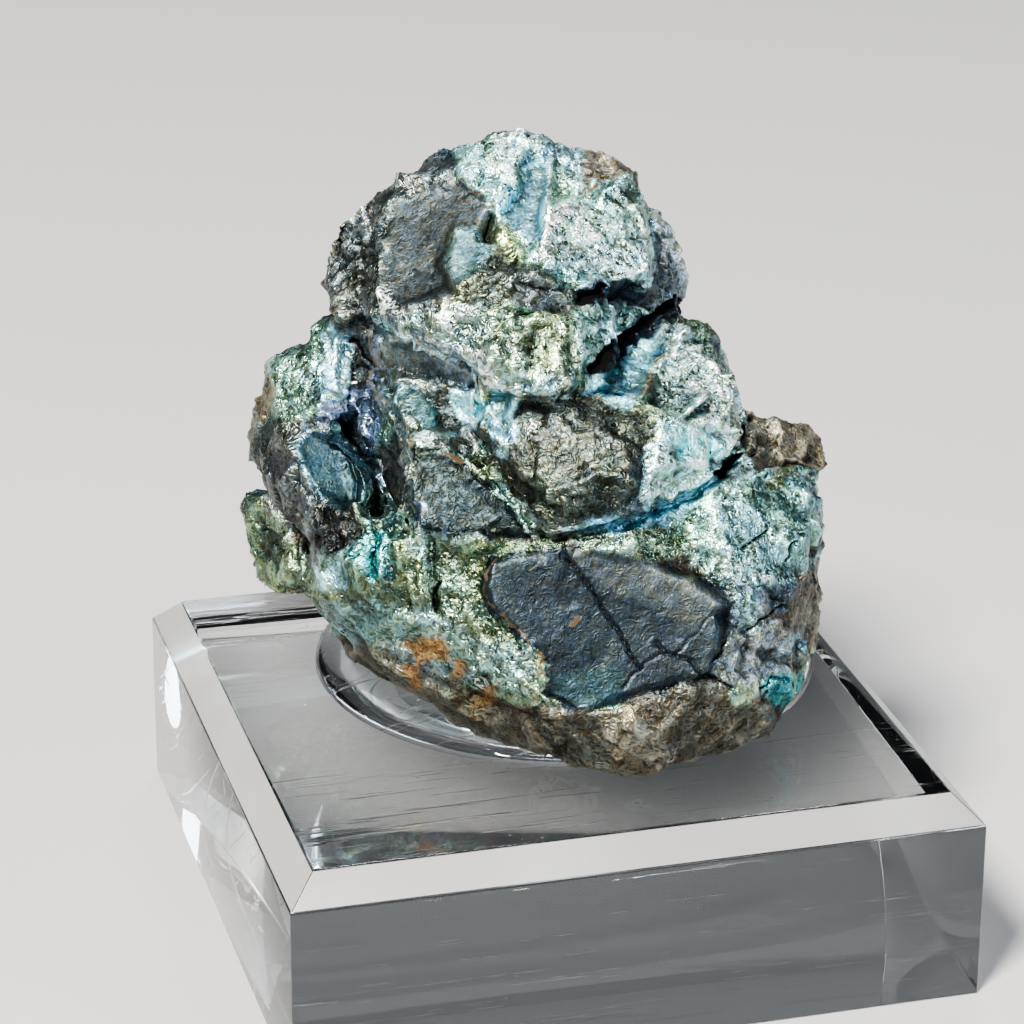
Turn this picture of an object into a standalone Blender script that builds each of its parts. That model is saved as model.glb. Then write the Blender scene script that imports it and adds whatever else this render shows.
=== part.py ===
"""A chalcocite specimen on its clear acrylic display base.

The square block stands on its underside at z = 0 and is centred on the origin.
A round clear pad is bonded to its top, off centre, and the stone rests on the pad.
The stone's lumps are given as they are seen from its show side, in millimetres:
u to the right, v upwards and w towards the viewer.
"""

import math

import bmesh
import bpy
from mathutils import Matrix, Vector, noise

MM = 0.001

# Display block
BLOCK_SIDE = 0.0508
BLOCK_HEIGHT = 0.0157
BLOCK_CHAMFER = 0.0021
ACRYLIC_COLOUR = (0.9, 0.92, 0.93)
ACRYLIC_ROUGHNESS = 0.03

# Clear pad
PAD_CENTRE = (0.0030, 0.0058)
PAD_RADIUS = 0.01905
PAD_FLAT_RADIUS = 0.0142
PAD_HEIGHT = 0.0015
PAD_EDGE_STEPS = 8
PAD_SIDES = 72
PAD_WELD = 0.00002
PAD_COLOUR = (0.9, 0.93, 0.95)
PAD_ROUGHNESS = 0.05

# Room between pieces that rest on each other
REST_GAP = 0.0003

# The show side: its viewer's turn about Z, look down, and distance from the stone
VIEW_TURN = math.radians(-15.6)
VIEW_LEAN = math.radians(22.8)
VIEW_DISTANCE_MM = 289.0
VIEW_CENTRE = (-0.0034, -0.0021, 0.0315)

# Stone surface
VOXEL = 0.00060
TRIANGLES = 8600
SWELL_SIZE = 0.0060
SWELL_HEIGHT = 0.00075
LUMP_SIZE = 0.0024
LUMP_HEIGHT = 0.00055
SKIN_GROWTH = 0.00022
MEAN_RIDGE = 0.3
RIDGE_SHIFT = Vector((7, 3, 1))
SCAR_SUBDIVISIONS = 5
UNDERSIDE_SLAB = 0.2
STONE_COLOUR = (0.12, 0.15, 0.16)
STONE_ROUGHNESS = 0.35
STONE_METALLIC = 0.8

# The inner lumps, each convex and given by its corner points (u, v, w)
INNER_LUMPS = {
    "heart": [
        (-13, -6, -3), (-12, 3, -1), (-10, 10, -1), (-9.5, 14, 3), (-8, 21, 1), (0, 24, 1),
        (7, 22, -1), (9.5, 17, -1), (5, 9, 3), (12, 8, 1), (15, 2, 3), (18, -6, 2),
        (14, -12, 5), (2, -12, 7), (-8, -9, 2), (-11, 14, -8), (-6, 22, -9), (5, 22, -10),
        (10, 16, -10), (14, 6, -12), (17, -4, -13), (8, -8, -17), (-6, -7, -16), (-12, -3, -12),
        (-12, 6, -9)],
    "lower_body": [
        (-15.3, -7.6, -7), (-12, -10.8, -2), (-8, -12.8, 1), (-4, -14.8, 3), (0, -15.9, 4.5),
        (2, -17.4, 7), (5, -18.1, 8.3), (10, -18.9, 9.5), (15, -17.7, 7.6), (19, -15.9, 4),
        (21.2, -13.2, 0), (22.4, -9.6, -5), (22.4, -4, -6), (20.5, 2.6, -5), (-1.5, -4.0, 8.8),
        (-1.2, -6.0, 9.8), (2.6, -13.6, 12.0), (8.5, -13.8, 12.8), (15.2, -11.8, 10.8),
        (18.2, -7.5, 7.6), (15.5, -1.0, 8.0), (4, -1.0, 9.4), (-14.5, -2, -6),
        (3, 1.4, 9.8), (9, 1.8, 9.4), (13, 3.6, 7.2), (16.5, 4, 4.6), (19, 3.8, -2), (-2, 5, 4),
        (0, -8, -17), (12, -6, -17), (19, -3, -13), (-12, -5, -13)],
    "neck": [
        (-12.4, 13, -3), (-10.6, 13, 1.5), (-9.4, 13.4, 4.4), (-3, 10.2, 6.6), (0, 9.2, 7.2),
        (5, 9, 4), (9, 13, -1), (-10, 9.0, 1.6), (-8.6, 8.6, 4.6), (-6.2, 8.0, 5.8),
        (-6.4, 5.2, 6.0), (-8.8, 6.0, 3.4), (-9.4, 2.4, 1.0), (-6, 1, 3), (2, 2, 4),
        (-11, 4, -5), (-10, 16, -8), (8, 14, -12), (0, 6, -14)],
    "back_upper": [
        (-9, 22, -4), (-3, 24.6, -8), (4, 24.2, -9), (9, 20, -9), (11, 14, -11), (-11.5, 15, -7),
        (-4, 18, -14), (4, 16, -15.5), (8, 12, -14), (-8, 12, -12), (0, 8, -13)],
    "back_lower": [
        (-13, 2, -9), (-12, -5, -12), (-4, -6.5, -19), (4, -6.8, -20.5), (12, -5.5, -19),
        (18, -3, -14), (16, 4, -13), (8, 6, -17), (0, 8, -17), (-8, 7, -13), (-2, 1, -19.5),
        (8, 0, -20.5)],
    "back_left": [
        (-14, 9, -6), (-11, 13, -8), (-8, 11, -14), (-14, 4, -11), (-8, 3, -17), (-6, 10, -8),
        (-10, -3, -15)],
    "back_ledge": [
        (-7, 12.5, -13), (-2, 14.4, -15.5), (5, 13.4, -16.8), (9, 10.8, -14.8), (8, 8.2, -17.4),
        (-1, 9, -18), (-8, 9.5, -13.5), (0, 11, -8), (6, 10, -8)],
    "back_flake": [
        (-6.5, 1, -17.5), (-5, 6, -17), (1, 6.6, -19.6), (2.4, 0, -22), (-3, -4.4, -21),
        (-7.2, -3, -18), (0, 2, -14)],
    "back_right": [
        (12, 11.5, -6), (16.4, 8.6, -7), (19.5, 3.4, -10), (17, 4.6, -15), (12, 9, -15),
        (10, 3, -18), (20, -2, -13), (12, 4, -6)],
}

# The smooth shell-like scars in the inner lumps, each a ball: its centre and radius
SCARS = {
    "undercut_hollow": ((-6.0, 8.6, 15.6), 10.4),
    "navy_hollow": ((8.0, -8.8, 75.0), 64.0),
}

# The outer lumps, which frame the scars and overhang them
OUTER_LUMPS = {
    "needle_face": [
        (-7.6, 4.6, 8.2), (-5.2, 5.0, 8.4), (-2, 2.8, 9.3), (1.6, -1.0, 10.2), (1.4, -2.4, 9.8),
        (-3, -3.6, 9.8), (-6.4, -1.6, 8.9), (-7.7, 1.0, 8.2), (-6, 6.5, 2), (-7, -2, 1),
        (3, -3, 2), (1, 4, 4)],
    "lilac_knob": [
        (-9.2, 8.6, 5.4), (-7.6, 9.3, 6.0), (-6.1, 8.2, 6.9), (-5.7, 6.9, 7.4), (-6.3, 5.1, 8.0),
        (-7.4, 5.2, 7.4), (-8.9, 7.0, 5.8), (-8, 8, 2), (-6, 6, 2), (-7, 4, 2)],
    "left_foot": [
        (-14.9, -3.2, 0.5), (-14.2, -4.5, 3.2), (-13.5, -8.2, 2.4), (-11.6, -10.2, 2.6),
        (-8, -12.2, 4.2), (-3.6, -14.1, 6), (-0.3, -13.5, 8.2), (1.6, -11.6, 10), (0.6, -8.6, 9.8),
        (-1.9, -5.6, 9.4), (-6.4, -1.8, 8.6), (-9.3, -0.6, 6.6), (-10.4, -0.4, 7.0),
        (-12.3, -2.8, 5.4), (-8.6, -6.0, 8.2), (-13, -4, -6), (-2, -6, -4), (-6, -11, -3)],
    "left_lobe": [
        (-18.4, 10.8, -3), (-17.4, 11.6, -2.0), (-15.4, 11.6, -0.5), (-14.4, 12.4, 0),
        (-13.1, 13.8, 0.8), (-11.9, 12.6, 1.6), (-11.6, 9.4, 3.2), (-14, 7.8, 4.4),
        (-17.2, 8.0, 1.5), (-18.3, 8, -3.5), (-18.8, 3.6, -4), (-13, 4, -8), (-16, 10, -9),
        (-11, 8, -6), (-12.5, 6.4, 3.4)],
    "teal_face": [
        (-15.7, 6.2, 3.4), (-13.6, 5.6, 4.8), (-11.2, 4.0, 5.8), (-10.5, 2.4, 6.2),
        (-10.9, 0.6, 6.1), (-12.4, -1.8, 5.6), (-14.2, -2.2, 4.2), (-15.2, 0.4, 3.8),
        (-16.4, 4.2, 2.2), (-18.5, 4.6, -1.6), (-18.2, 1.6, -2.5), (-16.4, -0.8, -0.5),
        (-12, -1, -6), (-13, 5, -6)],
    "outlying_knob": [
        (-20.5, 0.8, -11), (-19.2, 1.5, -10), (-17.2, 0.4, -7), (-15.4, -2.2, -6.5),
        (-15.2, -6.3, -7.5), (-17, -6.7, -9.5), (-18.4, -5.0, -10.5), (-19.5, -3.2, -11),
        (-20.1, -1.0, -11.5), (-16, -5, -15), (-17.5, 1, -16), (-11, -3, -13), (-11, 1, -10)],
    "middle_plate": [
        (-4.0, 7.7, 9.4), (-3.3, 9.0, 9.0), (-0.8, 9.1, 9.2), (4, 8.2, 8.4), (6.2, 10.2, 5.0),
        (9.2, 13.2, 0), (11.2, 14.4, -2.5), (13, 13.6, -2.5), (15.2, 12.2, -1.2), (16.6, 10.6, 1),
        (16.9, 8.4, 2.6), (16.3, 5.8, 5.4), (15.4, 4.0, 7.8), (13.0, 2.2, 10.3), (10, 0.9, 11.8),
        (7, -0.5, 12.4), (3.2, -1.1, 11.8), (1.5, -0.3, 11.2), (-0.9, 3.2, 10.2),
        (-2.8, 6.2, 9.6), (4, 3.2, 12.8), (9.6, 3.2, 12.4), (11, 6.6, 10.6), (1, 6.6, 11.2),
        (14.2, 7.4, 8.4), (8, 8.4, 8.6), (12, 4, 0), (4, 2, 3), (14, 10, -9), (8, 6, -8)],
    "right_body": [
        (13.6, 1.6, 7.6), (17, 2.9, 6.2), (20.6, 3.2, 3.2), (22.4, 2.4, 0), (22.9, -0.6, -2.5),
        (22.2, -2.8, 0), (20, -1.5, 5.2), (15.4, -1.5, 9.0), (20.4, -5, 5.2), (15, -4.4, 9.2),
        (14, -5, -6), (20, 0, -10)],
    "right_flank": [
        (16.2, -5.4, 9.4), (20.4, -6, 5.6), (22.9, -4.6, -1), (22.9, -7.2, -3.5),
        (22.4, -9.6, -3), (19.8, -9.8, 6.4), (16.4, -9.8, 10.2), (20, -3.6, 2), (14, -8, -6)],
    "right_foot": [
        (16, -11.2, 10.2), (19.4, -11, 7.2), (21.9, -11, 0), (21.4, -12.9, 0.6),
        (19.2, -14.4, 5.4), (16.6, -14.6, 8.6), (14.2, -12.6, 10.6), (14, -10, -6)],
    "right_shoulder": [
        (16.6, 6.6, -3.5), (18.4, 6.2, -6), (18.9, 5.2, -4), (17, 3.2, 1), (22.8, 2.4, -6),
        (23.1, 4.0, -8.5), (22.2, 5.8, -9.5), (21.0, 6.1, -9.5), (20.0, 5.4, -7),
        (16, 4, -13), (20, 3, -15), (14, 6, -8)],
    "head_slate": [
        (-10.0, 14.0, 6.8), (-10.0, 18.0, 5.6), (-8.8, 22.5, 3.6), (-8.2, 24.6, 1.4),
        (-4.2, 24.6, 3.2), (-1.4, 21.8, 6.2), (-4.6, 19.8, 7.0), (-4.8, 17.3, 8.0),
        (-3.8, 15.0, 9.2), (-8.6, 13.6, 8.0), (-9, 15, -2), (-4, 22, -3)],
    "head_left_rim": [
        (-13.9, 17.4, -0.5), (-13.3, 20.0, -1.2), (-12.6, 21.2, -1.4), (-10.2, 23.0, -0.8),
        (-8.9, 24.2, 0), (-9.0, 22.4, 3.0), (-10.1, 18, 5.2), (-10.1, 14.0, 6.0),
        (-12.4, 13.4, 1.0), (-13.1, 14.8, -0.2), (-11, 15, -8), (-10, 21, -8), (-5, 17, -6)],
    "head_chin": [
        (-8.9, 13.6, 8.0), (-5, 11.9, 10.0), (-2, 10.0, 11.4), (0.2, 8.9, 11.8), (3.4, 7.7, 11.2),
        (4.6, 7.9, 10.4), (5.2, 9.0, 9.6), (6.4, 11.2, 8.2), (8.7, 13.7, 5.6), (5.0, 15.3, 8.4),
        (4.6, 16.4, 8.0), (1, 17.6, 8.8), (-1.4, 20.5, 6.8), (-4.6, 19, 7.4), (-4.8, 16.5, 8.6),
        (-0.5, 13.5, 12.0), (2.5, 12, 11.8), (-4, 14.5, 10.4), (-8, 14, 0), (6, 14, 0),
        (0, 20, 0)],
    "head_crown": [
        (-4.2, 24.6, 3.4), (-4.2, 26.2, 0.5), (-2.8, 26.7, 1.4), (-1.0, 27.7, 2.2),
        (0.4, 28.2, 2.4), (1.5, 27.6, 1.8), (2.8, 26.5, 0.6), (2.4, 24.0, 3.0), (-0.8, 22.6, 6.0),
        (0.6, 24, 4.6), (-1.4, 22, 6.2), (-7, 22, -9), (0, 25, -8), (4, 23, -8),
        (-8.4, 25.2, -1.5), (-5.2, 25.8, -1.0)],
    "head_groove": [
        (-1.2, 20.6, 5.6), (2.4, 19.6, 6.0), (2.6, 25.6, 1.2), (-0.8, 23, 4.8), (0.8, 26.4, 1.2),
        (0, 22, -4), (3, 22, -4), (-2, 21, -2), (3, 19, 0)],
    "head_right_face": [
        (2.2, 19.0, 8.2), (2.1, 20.4, 7.2), (2.6, 23.2, 5.6), (3.0, 26.4, 1.0), (5, 26.3, -0.3),
        (7.6, 26.1, -1.8), (8.2, 24.8, -0.8), (5.2, 23.2, 4.6), (8.0, 24.1, 1.4),
        (9.0, 22.4, 1.0), (10.1, 20.6, 1.2), (10.2, 18.2, 2.8), (9.9, 16.2, 4.0),
        (7.2, 16.8, 7.4), (4.4, 17, 8.8), (3, 17, 0), (9, 17, -6), (4, 22, -8)],
    "head_right_back": [
        (8.3, 24.7, -5), (9.2, 24.2, -6), (9.1, 22.6, -4), (10.4, 20.7, -3.5), (11.4, 19.6, -4),
        (12.3, 18.2, -5.5), (12.5, 17.2, -6), (12.2, 15.9, -5.5), (11.0, 15.2, -3.0),
        (8.0, 14.6, 0), (9.6, 16.0, 1.2), (6, 18, -13), (9, 15, -13), (6, 13, -6)],
}

# The open clefts between the lumps
CLEFTS = {
    "under_head": [
        (4.4, 7.7, 10.5), (6.2, 10.8, 9.0), (8.9, 13.5, 6.6), (12.4, 15.7, 0), (12.9, 15.0, 0),
        (9.5, 12.6, 6), (7.0, 10.4, 8), (5.0, 8.0, 10), (6.4, 10.0, 2), (8.8, 12.6, -3),
        (12.5, 15.2, -8)],
    "left_cleft": [
        (-11.9, 12.2, 7), (-10.7, 12.0, 7), (-9.9, 8.2, 8), (-9.8, 4.0, 9), (-10.2, 3.0, 9),
        (-11.0, 5.4, 8), (-11.7, 8.6, 7), (-11.3, 11.0, -1.5), (-10.2, 4.6, -0.5)],
    "brown_wedge": [
        (-9.4, 2.4, 12), (-8.8, 4.6, 12), (-7.7, 4.8, 12), (-7.9, 1.2, 12), (-8.2, -0.4, 12),
        (-8.5, 3.0, 5.2), (-8.2, 0.8, 5.8)],
}


def seen(u, v, w):
    """The place, in metres, of a point seen at (u, v) and w nearer than the stone's middle."""
    shrink = 1 - w / VIEW_DISTANCE_MM
    return Vector((u * shrink, -w, v * shrink)) * MM


SHOW_SIDE = (
    Matrix.Translation(VIEW_CENTRE)
    @ Matrix.Rotation(VIEW_TURN, 4, "Z")
    @ Matrix.Rotation(-VIEW_LEAN, 4, "X")
)


def clear_scene():
    for item in list(bpy.data.objects):
        bpy.data.objects.remove(item, do_unlink=True)


def new_collection(name):
    group = bpy.data.collections.new(name)
    bpy.context.scene.collection.children.link(group)
    return group


def new_object(name, mesh_builder, group):
    mesh = bpy.data.meshes.new(name)
    mesh_builder.to_mesh(mesh)
    mesh_builder.free()
    item = bpy.data.objects.new(name, mesh)
    group.objects.link(item)
    return item


def new_material(name, colour, roughness, metallic=0.0, transmission=0.0):
    material = bpy.data.materials.new(name)
    material.use_nodes = True
    shader = material.node_tree.nodes["Principled BSDF"]
    shader.inputs["Base Color"].default_value = (*colour, 1)
    shader.inputs["Roughness"].default_value = roughness
    shader.inputs["Metallic"].default_value = metallic
    shader.inputs["Transmission Weight"].default_value = transmission
    return material


def make_block(group):
    """The acrylic block, with its top edges cut back at 45 degrees."""
    builder = bmesh.new()
    bmesh.ops.create_cube(builder, size=1)
    bmesh.ops.scale(builder, vec=(BLOCK_SIDE, BLOCK_SIDE, BLOCK_HEIGHT), verts=builder.verts)
    bmesh.ops.translate(builder, vec=(0, 0, BLOCK_HEIGHT / 2), verts=builder.verts)
    middle = BLOCK_HEIGHT / 2
    top_edges = [edge for edge in builder.edges if min(v.co.z for v in edge.verts) > middle]
    bmesh.ops.bevel(builder, geom=top_edges, offset=BLOCK_CHAMFER, offset_type="OFFSET",
                    segments=1, profile=0.5, affect="EDGES")
    block = new_object("acrylic_base", builder, group)
    block.data.materials.append(new_material("clear_acrylic", ACRYLIC_COLOUR,
                                             ACRYLIC_ROUGHNESS, transmission=1.0))
    return block


def make_pad(group):
    """The clear pad: a flat-topped disc whose edge falls away in a quarter ellipse."""
    builder = bmesh.new()
    floor = BLOCK_HEIGHT + REST_GAP
    corners = [(0.0, PAD_HEIGHT)]
    for step in range(PAD_EDGE_STEPS + 1):
        angle = 0.5 * math.pi * step / PAD_EDGE_STEPS
        radius = PAD_FLAT_RADIUS + (PAD_RADIUS - PAD_FLAT_RADIUS) * math.sin(angle)
        corners.append((radius, PAD_HEIGHT * math.cos(angle)))
    corners.append((0.0, 0.0))
    profile = [builder.verts.new((radius, 0, height)) for radius, height in corners]
    for above, below in zip(profile, profile[1:]):
        builder.edges.new((above, below))
    pad = new_object("clear_pad", builder, group)
    pad.location = (*PAD_CENTRE, floor)
    turned = pad.modifiers.new("turned", "SCREW")
    turned.angle = 2 * math.pi
    turned.steps = PAD_SIDES
    turned.render_steps = PAD_SIDES
    turned.use_merge_vertices = True
    turned.merge_threshold = PAD_WELD
    pad.data.materials.append(new_material("clear_pad", PAD_COLOUR, PAD_ROUGHNESS,
                                           transmission=1.0))
    return pad


def hull(builder, points):
    """Adds the convex lump that wraps the given points."""
    corners = [builder.verts.new(seen(*point)) for point in points]
    wrapped = bmesh.ops.convex_hull(builder, input=corners)
    loose = [item for item in wrapped["geom_interior"] if isinstance(item, bmesh.types.BMVert)]
    bmesh.ops.delete(builder, geom=loose, context="VERTS")


def new_cutter(name, mesh_builder, cutters):
    """A cutting shape, placed as it is seen from the show side."""
    cutter = new_object(name, mesh_builder, cutters)
    cutter.matrix_world = SHOW_SIDE
    cutter.hide_render = True
    cutter.display_type = "WIRE"
    return cutter


def cut_away(stone, cutter, name):
    """Takes the cutter's volume out of the stone."""
    cut = stone.modifiers.new(name, "BOOLEAN")
    cut.operation = "DIFFERENCE"
    cut.solver = "EXACT"
    cut.object = cutter


def as_plain_mesh(stone):
    """Replaces the stone's mesh by what its modifiers make of it."""
    shaped = stone.evaluated_get(bpy.context.evaluated_depsgraph_get())
    stone_mesh = bpy.data.meshes.new_from_object(shaped)
    stone.modifiers.clear()
    stone.data = stone_mesh


def add_remesh(stone):
    """Grows the lumps together into one skin."""
    joined = stone.modifiers.new("grown_together", "REMESH")
    joined.mode = "VOXEL"
    joined.voxel_size = VOXEL
    as_plain_mesh(stone)


def roughen(stone):
    """Gives the skin its swells and lumps, along each point's own normal."""
    normals = [vertex.normal.copy() for vertex in stone.data.vertices]
    for vertex, normal in zip(stone.data.vertices, normals):
        place = vertex.co
        swell = noise.noise(place / SWELL_SIZE)
        ridge = 0.5 - abs(noise.noise(place / LUMP_SIZE + RIDGE_SHIFT))
        rise = SKIN_GROWTH + swell * SWELL_HEIGHT + (ridge - MEAN_RIDGE) * LUMP_HEIGHT
        vertex.co = place + normal * rise


def flatten_underside(stone, cutters):
    """Takes away what would hang below the stone's resting height."""
    rest_height = BLOCK_HEIGHT + REST_GAP + PAD_HEIGHT + REST_GAP
    builder = bmesh.new()
    bmesh.ops.create_cube(builder, size=UNDERSIDE_SLAB)
    bmesh.ops.translate(builder, vec=(0, 0, rest_height - UNDERSIDE_SLAB / 2),
                        verts=builder.verts)
    slab = new_cutter("below_rest", builder, cutters)
    slab.matrix_world = Matrix()
    cut_away(stone, slab, "flat_underside")


def grow(stone, lumps):
    """Adds lumps to the stone and joins them all in one skin."""
    builder = bmesh.new()
    builder.from_mesh(stone.data)
    for points in lumps.values():
        first_new = len(builder.faces)
        hull(builder, points)
        builder.faces.ensure_lookup_table()
        bmesh.ops.recalc_face_normals(builder, faces=builder.faces[first_new:])
    builder.to_mesh(stone.data)
    builder.free()
    add_remesh(stone)


def make_stone(group, cutters):
    """The stone: its lumps grown together, scarred, cleft and roughened, then set to rest."""
    stone = new_object("chalcocite", bmesh.new(), group)
    stone.matrix_world = SHOW_SIDE
    grow(stone, INNER_LUMPS)
    for name, (centre, radius) in SCARS.items():
        ball = bmesh.new()
        bmesh.ops.create_icosphere(ball, subdivisions=SCAR_SUBDIVISIONS, radius=radius * MM)
        bmesh.ops.translate(ball, vec=seen(*centre), verts=ball.verts)
        cut_away(stone, new_cutter(name, ball, cutters), name)
    as_plain_mesh(stone)
    grow(stone, OUTER_LUMPS)
    for name, points in CLEFTS.items():
        cleft = bmesh.new()
        hull(cleft, points)
        bmesh.ops.recalc_face_normals(cleft, faces=cleft.faces)
        cut_away(stone, new_cutter(name, cleft, cutters), name)
    as_plain_mesh(stone)
    add_remesh(stone)
    roughen(stone)

    stone.data.transform(SHOW_SIDE)
    stone.matrix_world = Matrix()
    flatten_underside(stone, cutters)
    as_plain_mesh(stone)
    fewer = stone.modifiers.new("fewer_faces", "DECIMATE")
    fewer.ratio = TRIANGLES / sum(len(face.vertices) - 2 for face in stone.data.polygons)
    fewer.use_collapse_triangulate = True
    stone.data.materials.append(new_material("chalcocite", STONE_COLOUR, STONE_ROUGHNESS,
                                             metallic=STONE_METALLIC))
    return stone


clear_scene()
specimen = new_collection("chalcocite_specimen")
shapers = new_collection("cutters")
make_block(specimen)
make_pad(specimen)
make_stone(specimen, shapers)
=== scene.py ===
"""A chalcocite specimen on its clear acrylic base: the finish of every surface."""

import itertools
import math

import bmesh
import bpy
import numpy as np
from mathutils import Matrix, Vector, noise


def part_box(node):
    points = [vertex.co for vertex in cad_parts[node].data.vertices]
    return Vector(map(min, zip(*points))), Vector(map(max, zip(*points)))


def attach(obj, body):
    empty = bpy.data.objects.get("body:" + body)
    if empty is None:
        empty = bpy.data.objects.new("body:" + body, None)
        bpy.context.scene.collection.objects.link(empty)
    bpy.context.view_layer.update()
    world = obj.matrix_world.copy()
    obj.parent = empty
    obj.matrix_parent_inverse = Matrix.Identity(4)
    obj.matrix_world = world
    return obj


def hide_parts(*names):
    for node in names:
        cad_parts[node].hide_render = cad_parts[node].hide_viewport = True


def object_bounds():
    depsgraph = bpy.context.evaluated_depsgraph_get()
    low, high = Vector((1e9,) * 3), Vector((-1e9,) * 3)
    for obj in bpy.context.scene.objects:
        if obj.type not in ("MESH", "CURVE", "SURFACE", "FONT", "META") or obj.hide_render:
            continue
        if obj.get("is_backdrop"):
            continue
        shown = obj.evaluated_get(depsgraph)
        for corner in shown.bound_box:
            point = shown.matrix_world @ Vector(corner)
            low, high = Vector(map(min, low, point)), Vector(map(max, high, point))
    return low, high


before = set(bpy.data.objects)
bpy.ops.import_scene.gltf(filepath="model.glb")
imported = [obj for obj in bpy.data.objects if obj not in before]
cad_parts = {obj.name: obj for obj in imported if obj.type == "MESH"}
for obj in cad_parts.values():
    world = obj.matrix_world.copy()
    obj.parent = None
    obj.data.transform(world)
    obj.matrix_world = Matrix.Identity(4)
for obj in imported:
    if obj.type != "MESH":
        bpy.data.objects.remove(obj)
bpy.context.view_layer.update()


# The acrylic block: a square of clear cast acrylic, cut from sheet and polished. Its top
# edges are sawn back at 45 degrees and left satin, and every edge is just broken. It has
# been handled, so its faces carry hairline scratches and dust.

MM = 0.001
WELD = 0.002 * MM
EDGE_BREAK = 0.00014
EDGE_ANGLE = math.radians(20)
CHAMFER_FACING = (0.6, 0.8)
ACRYLIC_IOR = 1.49
ACRYLIC_TINT = "F1F8F9"
ACRYLIC_DEPTH_LOSS = 5.0
POLISHED = 0.012
SCUFFED = 0.16
SATIN = 0.34
SAWN_CLEARNESS = 0.82
DUST_SPACING = 1.6 * MM
DUST_EDGE = (0.03, 0.07)
SCRATCH_SPACING = 0.9 * MM
SCRATCH_EDGE = (0.62, 0.68)
SCRATCH_WAY = math.radians(31)
MARK_DEPTH = 0.00003


def linear(hex_colour):
    """An sRGB hex colour as the linear values that Blender's sockets take."""
    channels = [int(hex_colour[i:i + 2], 16) / 255 for i in (0, 2, 4)]
    return (*[c / 12.92 if c <= 0.04045 else ((c + 0.055) / 1.055) ** 2.4 for c in channels], 1.0)


def add(tree, kind, inputs=None, **settings):
    """Adds one node. Its inputs take plain values, other nodes' outputs, or a whole node, which
    stands for its first output."""
    made = tree.nodes.new("ShaderNode" + kind)
    for name, value in settings.items():
        setattr(made, name, value)
    for name, value in (inputs or {}).items():
        if isinstance(value, bpy.types.Node):
            value = value.outputs[0]
        if isinstance(value, bpy.types.NodeSocket):
            tree.links.new(value, made.inputs[name])
        else:
            made.inputs[name].default_value = value
    return made


def new_material(name):
    """An empty material: its node tree, and the output that its shader goes to."""
    material = bpy.data.materials.new(name)
    material.use_nodes = True
    material.node_tree.nodes.clear()
    return material, material.node_tree, add(material.node_tree, "OutputMaterial")


def merged_copy(node_name, piece_name):
    """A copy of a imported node's mesh, with the corners that its triangles share made one."""
    mesh = bpy.data.meshes.new(piece_name)
    builder = bmesh.new()
    builder.from_mesh(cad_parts[node_name].data)
    bmesh.ops.remove_doubles(builder, verts=builder.verts, dist=WELD)
    builder.to_mesh(mesh)
    builder.free()
    mesh.materials.clear()
    piece = bpy.data.objects.new(piece_name, mesh)
    bpy.context.scene.collection.objects.link(piece)
    return piece


def plain_mesh(piece):
    """Applies the piece's modifiers and takes them off."""
    shaped = piece.evaluated_get(bpy.context.evaluated_depsgraph_get())
    mesh = bpy.data.meshes.new_from_object(shaped)
    piece.modifiers.clear()
    piece.data = mesh
    return mesh


def clear_plastic(name, polish, scuff, clearness=1.0):
    """Clear acrylic: see-through to the far side, with scratches and dust in its gloss."""
    material, tree, output = new_material(name)
    place = add(tree, "TexCoord").outputs["Object"]
    long_way = add(tree, "Mapping", {
        "Vector": place, "Scale": (0.05, 1, 1), "Rotation": (0, 0, SCRATCH_WAY)})
    scratches = add(tree, "TexNoise", {
        "Vector": long_way, "Scale": 1 / SCRATCH_SPACING, "Detail": 3.0, "Roughness": 0.7})
    scratch_lines = add(tree, "ValToRGB", {"Fac": scratches})
    for element, position in zip(scratch_lines.color_ramp.elements, SCRATCH_EDGE):
        element.position = position
    dust = add(tree, "TexVoronoi", {"Vector": place, "Scale": 1 / DUST_SPACING, "Randomness": 1.0})
    dust_spots = add(tree, "ValToRGB", {"Fac": dust})
    for element, position, grey in zip(dust_spots.color_ramp.elements, DUST_EDGE, (1, 0)):
        element.position = position
        element.color = (grey, grey, grey, 1)
    marks = add(tree, "MixRGB", {"Fac": 1.0, "Color1": scratch_lines, "Color2": dust_spots},
                blend_type="ADD", use_clamp=True)
    roughness = add(tree, "MapRange", {"Value": marks, "To Min": polish, "To Max": scuff})
    relief = add(tree, "Bump", {"Height": marks, "Strength": 0.25, "Distance": MARK_DEPTH})
    shader = add(tree, "BsdfPrincipled", {
        "Base Color": linear("FFFFFF"), "Roughness": roughness, "IOR": ACRYLIC_IOR,
        "Transmission Weight": clearness, "Normal": relief})
    depth = add(tree, "VolumeAbsorption", {
        "Color": linear(ACRYLIC_TINT), "Density": ACRYLIC_DEPTH_LOSS})
    tree.links.new(shader.outputs["BSDF"], output.inputs["Surface"])
    tree.links.new(depth.outputs["Volume"], output.inputs["Volume"])
    return material


block = merged_copy("acrylic_base", "display_block")
flat = bmesh.new()
flat.from_mesh(block.data)
bmesh.ops.dissolve_limit(flat, angle_limit=math.radians(1), verts=flat.verts, edges=flat.edges)
flat.to_mesh(block.data)
flat.free()
broken_edges = block.modifiers.new("broken_edges", "BEVEL")
broken_edges.width = EDGE_BREAK
broken_edges.segments = 3
broken_edges.limit_method = "ANGLE"
broken_edges.angle_limit = EDGE_ANGLE
plain_mesh(block)
block.data.materials.append(clear_plastic("polished_cast_acrylic", POLISHED, SCUFFED))
block.data.materials.append(
    clear_plastic("sawn_acrylic_chamfer", SATIN, SCUFFED + SATIN, SAWN_CLEARNESS))
for face in block.data.polygons:
    face.material_index = CHAMFER_FACING[0] < face.normal.z < CHAMFER_FACING[1]
block.data.shade_smooth()
block.data.set_sharp_from_angle(angle=EDGE_ANGLE)
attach(block, "root")
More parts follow.
